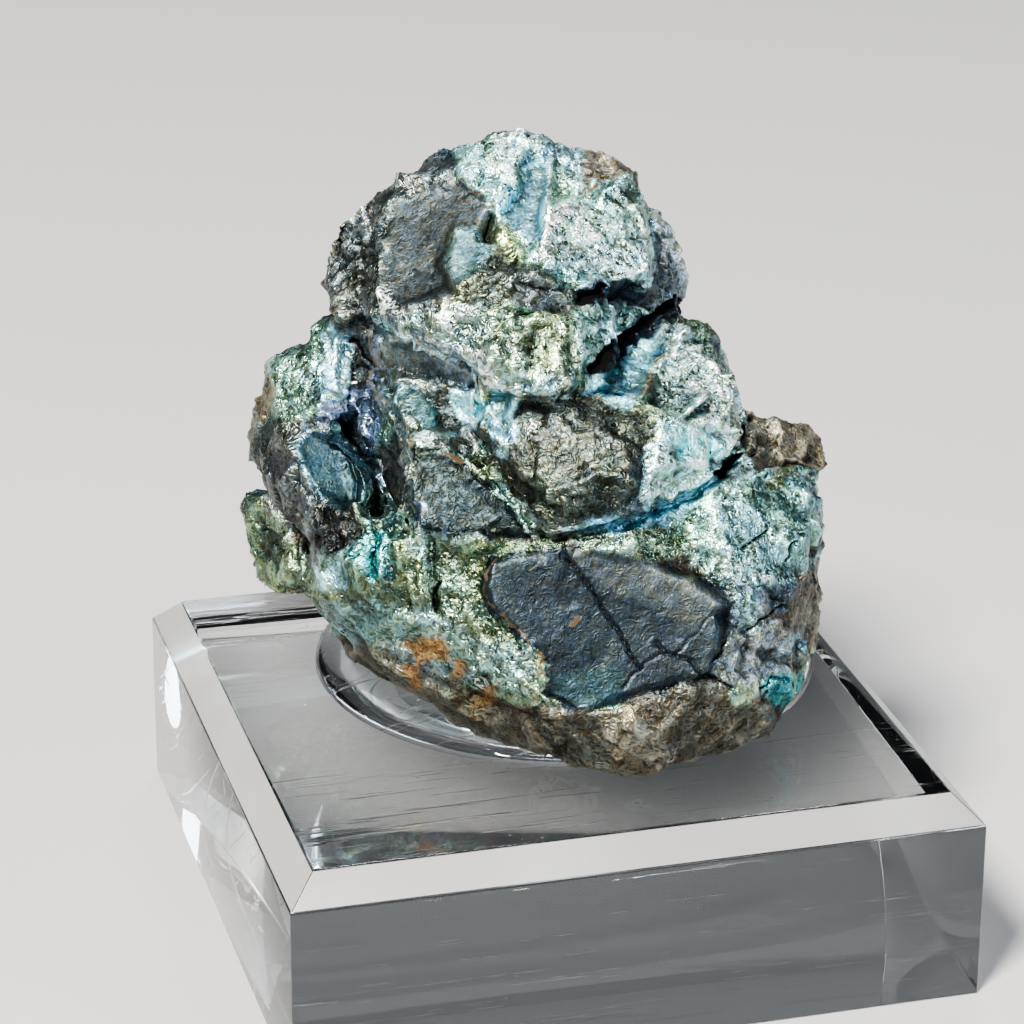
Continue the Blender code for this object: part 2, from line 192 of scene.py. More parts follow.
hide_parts("acrylic_base")


# The pad: a clear acrylic disc of 38 mm with a domed rim, bonded off centre to the block's
# top. It lifts the stone clear of the block. It is turned from its profile, and it sinks a
# hair into the block, as the bonded joint shows no line.

PAD_FLAT_RADIUS = 0.0142
PAD_RIM_STEPS = 16
PAD_TURN_STEPS = 160
PAD_EDGE_ANGLE = math.radians(35)
BOND_DEPTH = 0.00005

pad_low, pad_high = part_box("clear_pad")
pad_middle = (pad_low + pad_high) / 2
pad_radius = (pad_high.x - pad_low.x) / 2
pad_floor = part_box("acrylic_base")[1].z - BOND_DEPTH
pad_height = pad_high.z - pad_floor
rim_width = pad_radius - PAD_FLAT_RADIUS
profile = [(0.0, pad_height)]
for step in range(PAD_RIM_STEPS + 1):
    angle = 0.5 * math.pi * step / PAD_RIM_STEPS
    profile.append((PAD_FLAT_RADIUS + rim_width * math.sin(angle), pad_height * math.cos(angle)))
profile.append((0.0, 0.0))
turned = bmesh.new()
corners = [turned.verts.new((radius, 0, height)) for radius, height in profile]
edges = [turned.edges.new(pair) for pair in zip(corners, corners[1:])]
bmesh.ops.spin(turned, geom=corners + edges, cent=(0, 0, 0), axis=(0, 0, 1),
               angle=2 * math.pi, steps=PAD_TURN_STEPS, use_merge=True)
bmesh.ops.remove_doubles(turned, verts=turned.verts, dist=WELD)
bmesh.ops.recalc_face_normals(turned, faces=turned.faces)
bmesh.ops.translate(turned, vec=(pad_middle.x, pad_middle.y, pad_floor), verts=turned.verts)
pad_mesh = bpy.data.meshes.new("bonded_disc")
turned.to_mesh(pad_mesh)
turned.free()
pad_mesh.shade_smooth()
pad_mesh.set_sharp_from_angle(angle=PAD_EDGE_ANGLE)
pad = bpy.data.objects.new("bonded_disc", pad_mesh)
bpy.context.scene.collection.objects.link(pad)
pad_mesh.materials.append(clear_plastic("polished_acrylic_disc", POLISHED, SCUFFED))
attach(pad, "root")
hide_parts("clear_pad")


# The stone: massive chalcocite, a copper sulphide with a metallic lustre and a tarnish that
# runs from slate and navy to teal, green-gold and silver. Most of it broke across its grain
# into tiny mirror-like faces, parted by smooth shell-like scars, clefts and a brown rind. It
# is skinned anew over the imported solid, fine enough for the grain, and worked from there.

VOXEL = 0.00031
SMOOTHING_ROUNDS = 5
FINE_REACH = 0.45
VIEW_TURN = math.radians(-15.6)
VIEW_LEAN = math.radians(22.8)
VIEW_DISTANCE = 289.0
VIEW_CENTRE = (-0.0034, -0.0021, 0.0315)

SHOW_SIDE = (
    Matrix.Translation(VIEW_CENTRE)
    @ Matrix.Rotation(VIEW_TURN, 4, "Z")
    @ Matrix.Rotation(-VIEW_LEAN, 4, "X")
)

# The flat faces, where it parted along a plane: each outline (u, v) in mm as seen from the
# show side, how far the face is set in, its slope rightwards and upwards added to that of
# the skin there, how far its middle bows in, and how smooth it is from 0 to 1
FACES = {
    "slate": ([(-9.9, 14.2), (-9.9, 18.6), (-8.9, 22.8), (-7.2, 23.4), (-4.2, 24.4), (-1.2, 22.2),
        (-2.2, 20.6), (-4.2, 20.6), (-5.0, 17.9), (-4.2, 16.2), (-6.4, 15.4)], 0.35, 0.0, 0.0, 0.2,
        0.75),
    "pale_facet": ([(-4.9, 18.2), (-4.3, 20.2), (-3.0, 20.8), (-2.2, 19.0), (-2.8, 17.2),
        (-4.2, 16.2)], -0.2, -0.15, 0.1, 0.15, 0.85),
    "crown_left": ([(-4.2, 24.6), (-4.2, 26.4), (-0.6, 28.2), (0.6, 26.4), (-0.4, 23.8),
        (-2.2, 22.8)], -0.3, -0.25, -0.1, 0.0, 0.1),
    "blue_groove": ([(-0.9, 21.8), (0.2, 23.6), (1.4, 26.2), (2.6, 25.8), (2.6, 23.2), (2.1, 20.2),
        (1.0, 20.1)], 0.35, 0.15, 0.0, 0.2, 0.6),
    "crown_right": ([(2.6, 23.2), (2.8, 26.4), (7.8, 26.2), (8.2, 24.4), (5.0, 22.6)], 0.2, 0.1, 0.15,
        0.0, 0.1),
    "bright_face": ([(2.2, 22.8), (5.0, 22.6), (8.2, 24.2), (10.0, 20.6), (10.0, 17.0), (6.8, 17.2),
        (3.6, 16.4), (2.0, 20.0)], -0.1, -0.1, 0.1, 0.0, 0.0),
    "left_rim": ([(-13.8, 17.4), (-13.0, 20.6), (-10.2, 22.8), (-10.2, 14.0), (-12.8, 13.8)], 0.0,
        0.1, 0.0, 0.0, 0.1),
    "undercut": ([(-10.4, 12.8), (-7.0, 12.4), (-4.6, 11.4), (-1.2, 9.6), (-4.2, 9.3), (-7.6, 9.8),
        (-10.2, 10.2)], 0.3, 0.0, 0.1, 0.15, 0.45),
    "chin_left": ([(-8.4, 13.6), (-5.0, 15.2), (-2.0, 15.4), (-0.4, 13.6), (-2.2, 11.2),
        (-5.2, 12.0)], 0.0, -0.12, 0.1, 0.0, 0.1),
    "chin_right": ([(-0.2, 13.8), (4.8, 14.4), (5.8, 11.4), (4.4, 8.8), (1.6, 8.8), (-0.2, 10.8)],
        -0.1, 0.15, -0.1, 0.0, 0.0),
    "lobe_pale": ([(-14.0, 8.4), (-13.9, 12.6), (-13.1, 13.2), (-11.9, 12.2), (-11.8, 8.6)], -0.1,
        0.3, 0.0, 0.0, 0.5),
    "lobe_left": ([(-17.6, 7.0), (-17.6, 10.9), (-14.4, 11.6), (-14.1, 8.2), (-15.4, 6.6)], 0.1,
        -0.25, 0.1, 0.0, 0.2),
    "ledge": ([(-1.2, 5.6), (0.8, 8.2), (4.2, 7.4), (8.0, 5.6), (9.2, 3.4), (7.2, 1.8), (3.0, 1.0),
        (0.6, 2.2), (-0.6, 4.0)], 0.1, 0.0, 0.0, -0.3, 0.4),
    "striped": ([(-2.9, 7.4), (-1.0, 8.9), (0.2, 8.6), (-0.4, 5.4), (-1.6, 5.8)], -0.1, 0.15, 0.15,
        0.0, 0.4),
    "plate_top": ([(9.6, 7.2), (10.2, 9.8), (12.0, 13.0), (14.6, 11.6), (16.6, 9.6), (15.8, 7.2),
        (12.8, 7.0)], 0.0, 0.12, -0.2, 0.0, 0.0),
    "plate_back": ([(5.4, 8.8), (8.8, 12.6), (11.4, 13.6), (9.6, 9.8), (9.0, 7.8)], 0.2, -0.1, 0.2,
        0.2, 0.3),
    "bright_plate": ([(10.6, 6.4), (12.8, 6.8), (15.6, 5.2), (14.8, 3.8), (12.4, 3.8), (10.8, 4.6)],
        -0.1, 0.1, 0.2, 0.0, 0.5),
    "plate_foot": ([(9.6, 3.4), (12.2, 3.6), (14.6, 3.6), (12.8, 2.2), (10.2, 1.0)], 0.0, 0.0, -0.2,
        0.0, 0.1),
    "teal": ([(-15.6, 4.8), (-14.8, 6.2), (-13.0, 5.4), (-11.2, 4.1), (-10.6, 2.4), (-11.2, 0.9),
        (-12.2, 0.1), (-13.6, 0.6), (-14.8, 2.2)], 0.3, 0.0, 0.0, 0.1, 0.95),
    "wedge": ([(-9.4, 2.4), (-7.7, 4.8), (-7.6, 0.2), (-8.4, 0.4)], 0.6, 0.3, 0.0, 0.2, 0.5),
    "needles": ([(-7.3, 4.5), (-5.3, 4.8), (-2.4, 2.8), (0.6, -0.6), (1.2, -1.8), (-2.4, -1.6),
        (-5.8, -1.4), (-7.2, 0.6)], 0.1, 0.0, 0.0, 0.0, 0.6),
    "cyan": ([(-12.0, -3.0), (-10.5, -0.6), (-10.2, -3.8)], 0.0, -0.4, 0.2, 0.0, 0.3),
    "cyan_right": ([(-10.0, -0.9), (-9.3, -1.8), (-9.2, -4.8), (-10.0, -4.6)], 0.1, 0.4, 0.0, 0.0,
        0.3),
    "lime": ([(-8.7, -2.4), (-7.3, -2.2), (-7.0, -5.4), (-8.6, -5.6)], 0.0, 0.3, 0.1, 0.0, 0.3),
    "navy": ([(-1.6, -3.4), (3.8, -2.4), (9.4, -3.2), (13.4, -4.6), (15.8, -6.6), (15.4, -9.2),
        (14.6, -11.6), (11.4, -12.7), (8.4, -13.7), (4.6, -14.2), (2.2, -13.4), (2.8, -10.8),
        (1.4, -9.5), (-0.2, -8.3), (-1.6, -6.8), (-2.0, -5.2)], -0.2, 0.02, 0.06, 0.15, 0.9),
    "lilac": ([(-9.2, 8.5), (-7.4, 9.3), (-6.1, 8.1), (-5.7, 6.9), (-6.2, 4.9), (-7.2, 5.6),
        (-8.8, 7.2)], -0.3, 0.0, 0.1, -0.1, 0.5),
    "tip": ([(-4.0, 8.5), (-3.2, 9.0), (-2.5, 8.8), (-2.6, 6.6), (-3.9, 7.2)], -0.4, 0.0, 0.0, 0.0,
        0.6),
}

# Folds: the points (u, v) each runs through, its half width and its rise in mm
FOLDS = [
    ([(-12.6, 20.4), (-12.3, 17.4), (-11.8, 14.6)], 0.5, -0.5),
    ([(-11.4, 20.0), (-11.2, 17.2), (-11.0, 14.2)], 0.45, -0.45),
    ([(-10.1, 21.6), (-10.1, 17.0), (-10.2, 13.8)], 0.4, -0.4),
    ([(-13.4, 19.4), (-13.0, 16.8), (-12.4, 14.0)], 0.4, 0.3),
    ([(-8.8, 24.4), (-7.0, 24.2)], 0.6, 0.5),
    ([(-10.0, 16.4), (-9.0, 14.6), (-8.2, 14.0)], 0.8, 0.4),
    ([(-6.2, 14.6), (-4.8, 13.6)], 0.6, 0.4),
    ([(-1.6, 21.6), (-1.8, 20.2)], 0.7, -1.0),
    ([(-1.0, 20.4), (0.8, 18.4)], 0.7, 0.5),
    ([(1.0, 18.4), (3.2, 17.8), (4.8, 16.2), (6.4, 15.2)], 0.6, -0.7),
    ([(-0.4, 14.4), (2.4, 15.2), (4.4, 15.0)], 0.9, -0.6),
    ([(-4.2, 16.4), (-2.0, 17.4), (0.8, 17.0), (3.4, 16.4)], 0.5, 0.35),
    ([(0.2, 15.0), (-0.4, 13.4)], 0.5, 0.5),
    ([(3.6, 13.4), (3.2, 11.2), (3.8, 9.4)], 0.7, 0.4),
    ([(1.8, 13.6), (1.4, 11.4), (1.0, 9.2)], 0.6, -0.45),
    ([(-2.8, 12.6), (-1.0, 11.8), (0.0, 10.2)], 0.6, 0.35),
    ([(3.0, 23.4), (2.7, 25.8)], 0.4, 0.35),
    ([(4.8, 22.6), (6.6, 23.4), (8.2, 24.4)], 0.5, 0.4),
    ([(7.2, 15.2), (8.6, 14.2), (8.8, 13.0)], 0.35, 0.5),
    ([(3.2, 20.0), (6.0, 19.6), (9.6, 20.2)], 0.5, -0.3),
    ([(3.8, 18.6), (7.2, 18.4), (9.8, 17.4)], 0.5, 0.3),
    ([(-14.2, 12.4), (-14.2, 8.2)], 0.4, -0.35),
    ([(-12.9, 12.6), (-13.2, 8.8)], 0.35, 0.3),
    ([(-12.6, 6.6), (-11.6, 5.4), (-10.4, 3.0)], 0.6, -0.8),
    ([(-14.9, 6.2), (-12.6, 5.1), (-11.2, 4.0), (-10.6, 2.6)], 0.35, 0.35),
    ([(-11.4, 7.8), (-10.6, 5.4)], 0.5, 0.5),
    ([(-10.2, -0.8), (-10.0, -4.6)], 0.4, -0.7),
    ([(-9.0, -0.4), (-9.0, -5.0)], 0.4, -0.5),
    ([(-10.6, -0.8), (-11.6, -3.0)], 0.5, 0.4),
    ([(-8.2, -2.2), (-8.0, -5.4)], 0.5, 0.4),
    ([(-6.2, -1.6), (-5.8, -4.2), (-5.4, -7.4)], 0.5, -0.5),
    ([(-6.7, -3.4), (-6.5, -6.0)], 0.4, 0.35),
    ([(7.6, 6.2), (9.4, 5.2)], 0.6, -0.5),
    ([(10.0, 6.6), (10.0, 3.6), (9.4, 1.8)], 0.6, -0.35),
    ([(12.6, 7.0), (16.0, 5.6)], 0.5, -0.5),
    ([(2.6, 1.4), (6.2, 2.8), (8.8, 2.4)], 0.6, 0.35),
    ([(1.5, -0.9), (4.0, -1.0), (7.0, -0.4), (9.5, 0.4), (11.5, 1.7), (13.5, 2.4), (15.0, 3.6),
        (16.2, 5.2)], 0.4, 0.35),
    ([(2.4, -1.8), (5.4, -1.6), (8.4, -0.8), (11.0, 0.4), (13.4, 1.4), (15.2, 2.6), (16.6, 4.6),
        (17.4, 6.4)], 0.6, -0.8),
    ([(12.6, 13.4), (11.0, 11.4), (10.2, 9.2)], 0.6, 0.4),
    ([(17.4, 3.2), (19.6, 3.6), (22.6, 3.2)], 0.6, -0.6),
    ([(17.2, 4.6), (18.6, 5.6)], 0.5, -0.5),
    ([(2.4, -14.3), (6.0, -14.4), (9.4, -13.4), (12.6, -12.4), (15.0, -12.0)], 0.5, -0.45),
    ([(15.4, -7.4), (17.4, -8.8), (17.2, -11.4)], 0.8, -0.6),
    ([(18.4, -10.2), (20.6, -11.0), (21.8, -10.6)], 0.5, -0.5),
    ([(15.6, -5.2), (18.4, -5.2), (20.2, -6.6)], 0.5, -0.35),
    ([(-13.6, -8.6), (-9.6, -10.2), (-5.4, -12.6), (-1.6, -14.0), (1.0, -14.6)], 0.6, -0.3),
]

# The cracks: the points (u, v) each runs through, its half width and its depth in mm
CRACKS = [
    ([(-3.0, 3.2), (-2.4, 2.4), (-1.6, 1.8)], 0.05, 0.4),
    ([(-1.3, 2.2), (-0.7, 1.5), (0.0, 0.6), (0.5, 0.1), (0.9, -0.5), (1.4, -1.2), (1.6, -1.5)], 0.05,
        0.5),
    ([(1.2, -1.9), (1.5, -2.6)], 0.05, 0.3),
    ([(3.6, -2.2), (3.8, -2.9), (4.2, -3.4), (4.9, -4.2), (5.4, -5.1), (6.1, -6.0), (6.6, -6.8),
        (7.2, -7.7), (7.8, -8.4), (8.3, -9.6), (8.8, -10.4), (9.4, -11.3)], 0.06, 0.45),
    ([(8.3, -12.8), (9.0, -11.8), (9.8, -10.9), (10.8, -10.3), (11.4, -10.2)], 0.03, 0.25),
    ([(10.6, -9.4), (11.2, -10.1), (12.0, -10.4), (12.6, -10.6), (13.3, -10.9), (13.8, -11.7)], 0.045,
        0.4),
    ([(12.0, -10.3), (13.2, -9.0), (14.4, -7.6), (15.6, -6.7), (17.4, -6.2)], 0.02, 0.2),
    ([(13.8, -12.0), (14.8, -11.9), (15.4, -12.2), (16.2, -12.8)], 0.09, 0.6),
    ([(-11.9, 12.4), (-11.2, 12.4), (-10.9, 11.4), (-10.2, 10.8)], 0.16, 0.6),
    ([(-12.2, 6.2), (-11.8, 5.4), (-11.0, 4.4), (-10.2, 3.2)], 0.12, 0.7),
    ([(-8.2, 9.9), (-6.4, 10.2), (-4.6, 9.2), (-3.2, 8.9)], 0.04, 0.25),
    ([(17.0, -2.5), (17.8, -1.9), (18.8, -1.1)], 0.09, 0.7),
    ([(21.3, -1.0), (20.8, -1.7), (20.2, -2.6), (20.0, -3.4)], 0.09, 0.7),
    ([(17.2, -8.9), (17.9, -8.3), (19.4, -7.0), (20.0, -6.6)], 0.075, 0.5),
    ([(14.9, -10.8), (15.6, -9.4)], 0.09, 0.5),
    ([(-15.1, -2.4), (-15.0, -3.4), (-14.9, -5.2)], 0.15, 0.9),
    ([(-5.2, -5.2), (-5.8, -6.2), (-5.6, -7.2)], 0.12, 0.7),
    ([(6.0, 10.4), (6.7, 11.5), (8.8, 13.4), (10.4, 14.4), (12.0, 15.6)], 0.35, 0.9),
    ([(5.2, 15.6), (6.0, 15.8), (6.6, 16.4)], 0.5, 1.0),
    ([(14.6, 2.9), (15.6, 3.2), (16.4, 4.4)], 0.22, 0.8),
    ([(16.6, 6.0), (17.4, 6.8)], 0.25, 0.7),
    ([(-9.2, 2.6), (-8.0, 0.0), (-7.6, -1.0)], 0.15, 0.4),
    ([(-10.1, -1.2), (-10.0, -2.4), (-10.1, -4.4)], 0.07, 0.4),
    ([(3.6, 16.2), (1.6, 16.4), (0.4, 16.8)], 0.075, 0.4),
    ([(2.2, 15.0), (0.6, 14.6)], 0.075, 0.4),
    ([(-1.4, 21.8), (-1.9, 20.4)], 0.1, 0.6),
    ([(18.0, 4.8), (17.0, 4.2)], 0.2, 0.6),
    ([(20.2, -12.1), (19.2, -12.0), (18.4, -12.9)], 0.075, 0.4),
]

CRACK_OPENING = 0.7
CRACK_BANK = 0.07

# Rust-stained seams: the points (u, v) each runs through and its half width in mm
SEAMS = [
    ([(-1.2, -3.4), (-1.7, -4.4), (-1.9, -5.6), (-1.6, -6.6), (-1.1, -6.9)], 0.10),
    ([(-0.6, -7.4), (-0.2, -8.1), (0.4, -8.5), (1.0, -8.9), (1.3, -9.4)], 0.10),
    ([(1.9, -10.3), (2.6, -10.6), (2.1, -11.2), (2.4, -11.7), (1.8, -12.0)], 0.16),
    ([(0.8, -12.4), (1.0, -12.9), (2.0, -13.8)], 0.12),
    ([(-10.5, 13.4), (-10.2, 11.8), (-9.9, 10.8), (-10.2, 10.0), (-10.1, 8.6), (-9.4, 7.9),
        (-8.4, 7.8)], 0.12),
    ([(-7.3, 5.6), (-7.2, 4.8)], 0.16),
    ([(-4.9, 4.4), (-4.2, 4.0), (-3.6, 3.6)], 0.16),
    ([(-8.4, -0.6), (-7.8, -1.2), (-7.2, -1.6)], 0.12),
    ([(-16.2, -0.3), (-15.6, -0.5)], 0.18),
    ([(-4.0, 24.4), (-2.8, 23.3), (-2.0, 22.9), (-1.2, 22.2)], 0.14),
    ([(2.6, 25.8), (2.9, 24.4), (2.8, 23.3)], 0.12),
    ([(4.9, 23.0), (5.6, 23.6), (6.2, 23.8)], 0.12),
    ([(4.4, -8.2), (4.9, -7.7)], 0.18),
    ([(10.4, 11.0), (11.2, 11.6)], 0.2),
]

# Chips of fresh bright metal: middle (u, v) and radius in mm
CHIPS = [(-7.6, 23.8, 0.5), (-8.4, 24.3, 0.45), (-9.5, 15.9, 0.6), (-9.2, 15.0, 0.7),
         (-9.6, 14.4, 0.5), (-8.2, 14.4, 0.4), (-5.2, 14.2, 0.6), (-4.6, 13.5, 0.45),
         (-6.0, 14.4, 0.3), (-9.7, 17.6, 0.3), (-6.9, -1.3, 0.35), (-11.9, 9.6, 0.5),
         (-2.3, 11.4, 0.35), (-13.9, 0.4, 0.35), (-10.3, 6.7, 0.25), (-2.7, 4.4, 0.25),
         (-2.3, 3.6, 0.25), (-8.2, -10.0, 0.35), (1.6, 6.2, 0.4), (4.7, 19.6, 0.5),
         (6.6, 21.0, 0.5), (8.7, 21.0, 0.45), (0.2, 26.6, 0.6), (9.0, 18.4, 0.35),
         (-15.8, 5.9, 0.3), (-2.4, -12.4, 0.4), (17.0, -3.6, 0.4), (18.3, -4.5, 0.35),
         (-0.2, 14.2, 0.4), (13.8, 9.4, 0.4), (15.4, 9.0, 0.4)]

# The facets that its skin is pressed flat in: their size in mm, seed, and reach in mm
FACETS = ((4.2, 13, 0.6), (2.2, 14, 0.35))
FLATNESS = 0.9

# The grains that stand at their own tilt: their size in mm, seed, lean, and step in mm
GRAINS = ((3.0, 17, 0.8, 0.14), (1.5, 21, 0.26, 0.03), (0.8, 41, 0.09, 0.0))

# Streaks: the way that each runs (rightwards, upwards), how far drawn out, its size in mm, and
# the faces that have it
STREAKS = [
    (0.08, 1, 5, 0.9, ("left_rim", "lobe_pale", "cyan", "cyan_right", "lime")),
    (0.85, -0.5, 4, 0.8, ("bright_plate", "plate_top", "plate_foot", "needles", "bright_face")),
    (0.8, 0.6, 4, 0.8, ("striped", "chin_right", "lilac", "tip", "ledge")),
]
RIM_RIDGES = 0.16

# Painted shade in hollows and painted light on crests, read after a few and after many rounds
# of easing: their depth in mm, and their share
HOLLOW_SHADING = {2: (0.12, 0.25), 29: (0.40, 0.75)}

# The foot comes down on the pad, to within a hair
CONTACT_GAP = 0.00001
FOOT_HEIGHT = 0.003


def lattice_random(cell, seed):
    """A number from 0 to 1 for each whole-number cell of a grid, the same every time."""
    word = cell.astype(np.uint64)
    mixed = (word[:, 0] * np.uint64(73856093)) ^ (word[:, 1] * np.uint64(19349663))
    mixed ^= (word[:, 2] * np.uint64(83492791)) + np.uint64(seed * 40503 + 977)
    for shift, factor in ((15, 2246822519), (13, 3266489917)):
        mixed &= np.uint64(0xFFFFFFFF)
        mixed = (mixed ^ (mixed >> np.uint64(shift))) * np.uint64(factor)
    mixed &= np.uint64(0xFFFFFFFF)
    return (mixed ^ (mixed >> np.uint64(16))) / 0xFFFFFFFF


def soft_noise(points, size, seed):
    """Smooth noise from -1 to 1, whose swells are about size across."""
    scaled = points / size
    home = np.floor(scaled).astype(np.int64)
    part = scaled - home
    part = part * part * (3 - 2 * part)
    total = np.zeros(len(points))
    for step in itertools.product((0, 1), repeat=3):
        share = np.prod(np.where(step, part, 1 - part), axis=1)
        total += share * lattice_random(home + step, seed)
    return total * 2 - 1


def sways(points, size, seeds):
    """Smooth noise of that size for each seed, as columns."""
    return np.stack([soft_noise(points, size, seed) for seed in seeds], axis=1)


def grains(points, size, seed):
    """The crystal grain that each point lies in: the offset from its middle, and its key."""
    scaled = points / size
    home = np.floor(scaled).astype(np.int64)
    nearest = np.full(len(points), 9.0)
    offset = np.zeros_like(scaled)
    key = np.zeros_like(home)
    for step in itertools.product((-1, 0, 1), repeat=3):
        cell = home + step
        jitter = np.stack([lattice_random(cell, seed + axis) for axis in range(3)], axis=1)
        gap = scaled - cell - jitter
        distance = np.linalg.norm(gap, axis=1)
        closer = distance < nearest
        nearest = np.where(closer, distance, nearest)
        offset[closer] = gap[closer]
        key[closer] = cell[closer]
    return offset, key


def smooth_step(low, high, value):
    part = np.clip((value - low) / (high - low), 0, 1)
    return part * part * (3 - 2 * part)


def line_distance(spots, points):
    """How far each spot is from a line that runs through the points."""
    best = np.full(len(spots), 1e9)
    for start, end in zip(np.array(points[:-1], float), np.array(points[1:], float)):
        run = end - start
        along = np.clip(((spots - start) @ run) / (run @ run), 0, 1)
        best = np.minimum(best, np.linalg.norm(spots - start - along[:, None] * run, axis=1))
    return best


def depth_inside(spots, outline):
    """How far each spot is inside an outline, or outside it where negative."""
    inside = np.zeros(len(spots), bool)
    x, y = spots.T
    closed = list(outline) + [outline[0]]
    for (x0, y0), (x1, y1) in zip(closed, closed[1:]):
        crosses = (y0 > y) != (y1 > y)
        rise = y1 - y0 if y1 != y0 else 1e-9
        inside ^= crosses & (x < (x1 - x0) * (y - y0) / rise + x0)
    gap = line_distance(spots, closed)
    return np.where(inside, gap, -gap)


def vectors_of(items, name):
    """One vector of each item in a list of the mesh, as rows."""
    values = np.empty(len(items) * 3, np.float32)
    items.foreach_get(name, values)
    return values.reshape(-1, 3).astype(float)


def seen_from_show_side(points):
    """World points as (u, v, w) in mm: right, up and nearer, as the show side's viewer sees."""
    local = (points @ to_view[:3, :3].T + to_view[:3, 3]) / MM
    w = -local[:, 1]
    grow = 1 / (1 - w / VIEW_DISTANCE)
    return np.stack([local[:, 0] * grow, local[:, 2] * grow, w], axis=1)


def drawn_out(points, across, upwards, factor):
    """The points squeezed along a line of the view, so that noise read there is drawn out."""
    way = from_view[:3, :3] @ np.array([across, 0, upwards])
    way /= np.linalg.norm(way)
    return points - np.outer(points @ way, way) * (1 - 1 / factor)


def crinkles(points, size, octaves):
    """Noise of sharp crests and soft hollows, with a mean of 0 and a spread of 1."""
    values = np.array([
        noise.ridged_multi_fractal(place, 0.85, 2.1, octaves, 1.0, 2.0)
        for place in (points / size).tolist()])
    return np.clip((values - values.mean()) / values.std(), -2.5, 2.5)


def flatten_facets(points, size, seed, reach):
    """Presses each patch of skin of about that size towards a plane of its own."""
    key = grains(points, size, seed)[1]
    patch = np.unique(key, axis=0, return_inverse=True)[1].ravel()
    count = np.maximum(np.bincount(patch), 1)[:, None]
    middle = np.stack([np.bincount(patch, points[:, axis]) for axis in range(3)], axis=1) / count
    away = points - middle[patch]
    spread = np.stack([
        np.bincount(patch, away[:, row] * away[:, column])
        for row in range(3) for column in range(3)], axis=1).reshape(-1, 3, 3)
    upright = np.linalg.eigh(spread)[1][:, :, 0][patch]
    off = (away * upright).sum(axis=1)
    return points - upright * np.clip(off * FLATNESS, -reach, reach)[:, None]


def neighbour_mean(values, pairs):
    """The mean of each vertex's neighbours."""
    total = np.stack([
        np.bincount(pairs[:, 0], values[pairs[:, 1], axis], len(values))
        + np.bincount(pairs[:, 1], values[pairs[:, 0], axis], len(values))
        for axis in range(3)], axis=1)
    return total / np.bincount(pairs.ravel(), minlength=len(values))[:, None]


stone = merged_copy("chalcocite", "chalcocite_stone")
skin = stone.modifiers.new("skin", "REMESH")
skin.mode = "VOXEL"
skin.voxel_size = VOXEL
eased = stone.modifiers.new("eased", "SMOOTH")
eased.factor = 0.5
eased.iterations = SMOOTHING_ROUNDS
rock = plain_mesh(stone)

to_view = np.array(SHOW_SIDE.inverted())
from_view = np.array(SHOW_SIDE)
towards_viewer = from_view[:3, :3] @ np.array([0, -1, 0])

# The skin is split finer along the cracks and seams, so that they come out crisp
spots = seen_from_show_side(vectors_of(rock.vertices, "co"))[:, :2]
lines = [line for line, *_ in CRACKS + SEAMS]
gap = np.min([line_distance(spots, line) for line in lines], axis=0)
shows = vectors_of(rock.vertex_normals, "vector") @ towards_viewer > 0
close = np.flatnonzero((gap < FINE_REACH) & shows)
finer = bmesh.new()
finer.from_mesh(rock)
finer.verts.ensure_lookup_table()
near_edges = {edge for index in close for edge in finer.verts[index].link_edges}
bmesh.ops.subdivide_edges(finer, edges=list(near_edges), cuts=1, use_grid_fill=True)
bmesh.ops.triangulate(finer, faces=[face for face in finer.faces if len(face.verts) > 4])
finer.to_mesh(rock)
finer.free()

points = vectors_of(rock.vertices, "co")
rest = points.copy()
normals = vectors_of(rock.vertex_normals, "vector")
seen = seen_from_show_side(points)
spots = seen[:, :2] + 0.16 * sways(points, 0.7 * MM, (11, 12))
facing = smooth_step(0.05, 0.35, normals @ towards_viewer)

for size, seed, reach in FACETS:
    points = flatten_facets(points, size * MM, seed, reach * MM)
seen = seen_from_show_side(points)
calm = np.zeros(len(points))
for outline, set_in, slope_right, slope_up, bow, smoothness in FACES.values():
    depth = depth_inside(spots, outline)
    near = (depth > 0) & (facing > 0.5)
    if near.sum() < 20:
        continue
    level = np.median(seen[near][:, 2])
    table = np.c_[seen[near][:, :2], np.ones(near.sum())]
    heights = np.clip(seen[near][:, 2], level - 2, level + 2)
    fit = np.linalg.lstsq(table, heights, rcond=None)[0]
    target = np.c_[seen[:, :2], np.ones(len(points))] @ fit - set_in
    middle = seen[near][:, :2].mean(axis=0)
    target += (seen[:, :2] - middle) @ (slope_right, slope_up)
    target -= bow * np.clip(depth / depth.max(), 0, 1)
    weight = smooth_step(-0.25, 0.5, depth) * facing * (abs(seen[:, 2] - target) < 2.5)
    points += np.outer(np.clip(target - seen[:, 2], -2, 2) * weight * MM, towards_viewer)
    calm = np.maximum(calm, smoothness * smooth_step(-0.1, 0.4, depth) * facing)

rough = 1 - calm
rise = np.zeros(len(points))
for line, half_width, height in FOLDS:
    gap = line_distance(spots, line)
    rise += height * np.clip(1 - gap / half_width, 0, 1) ** 1.3 * facing

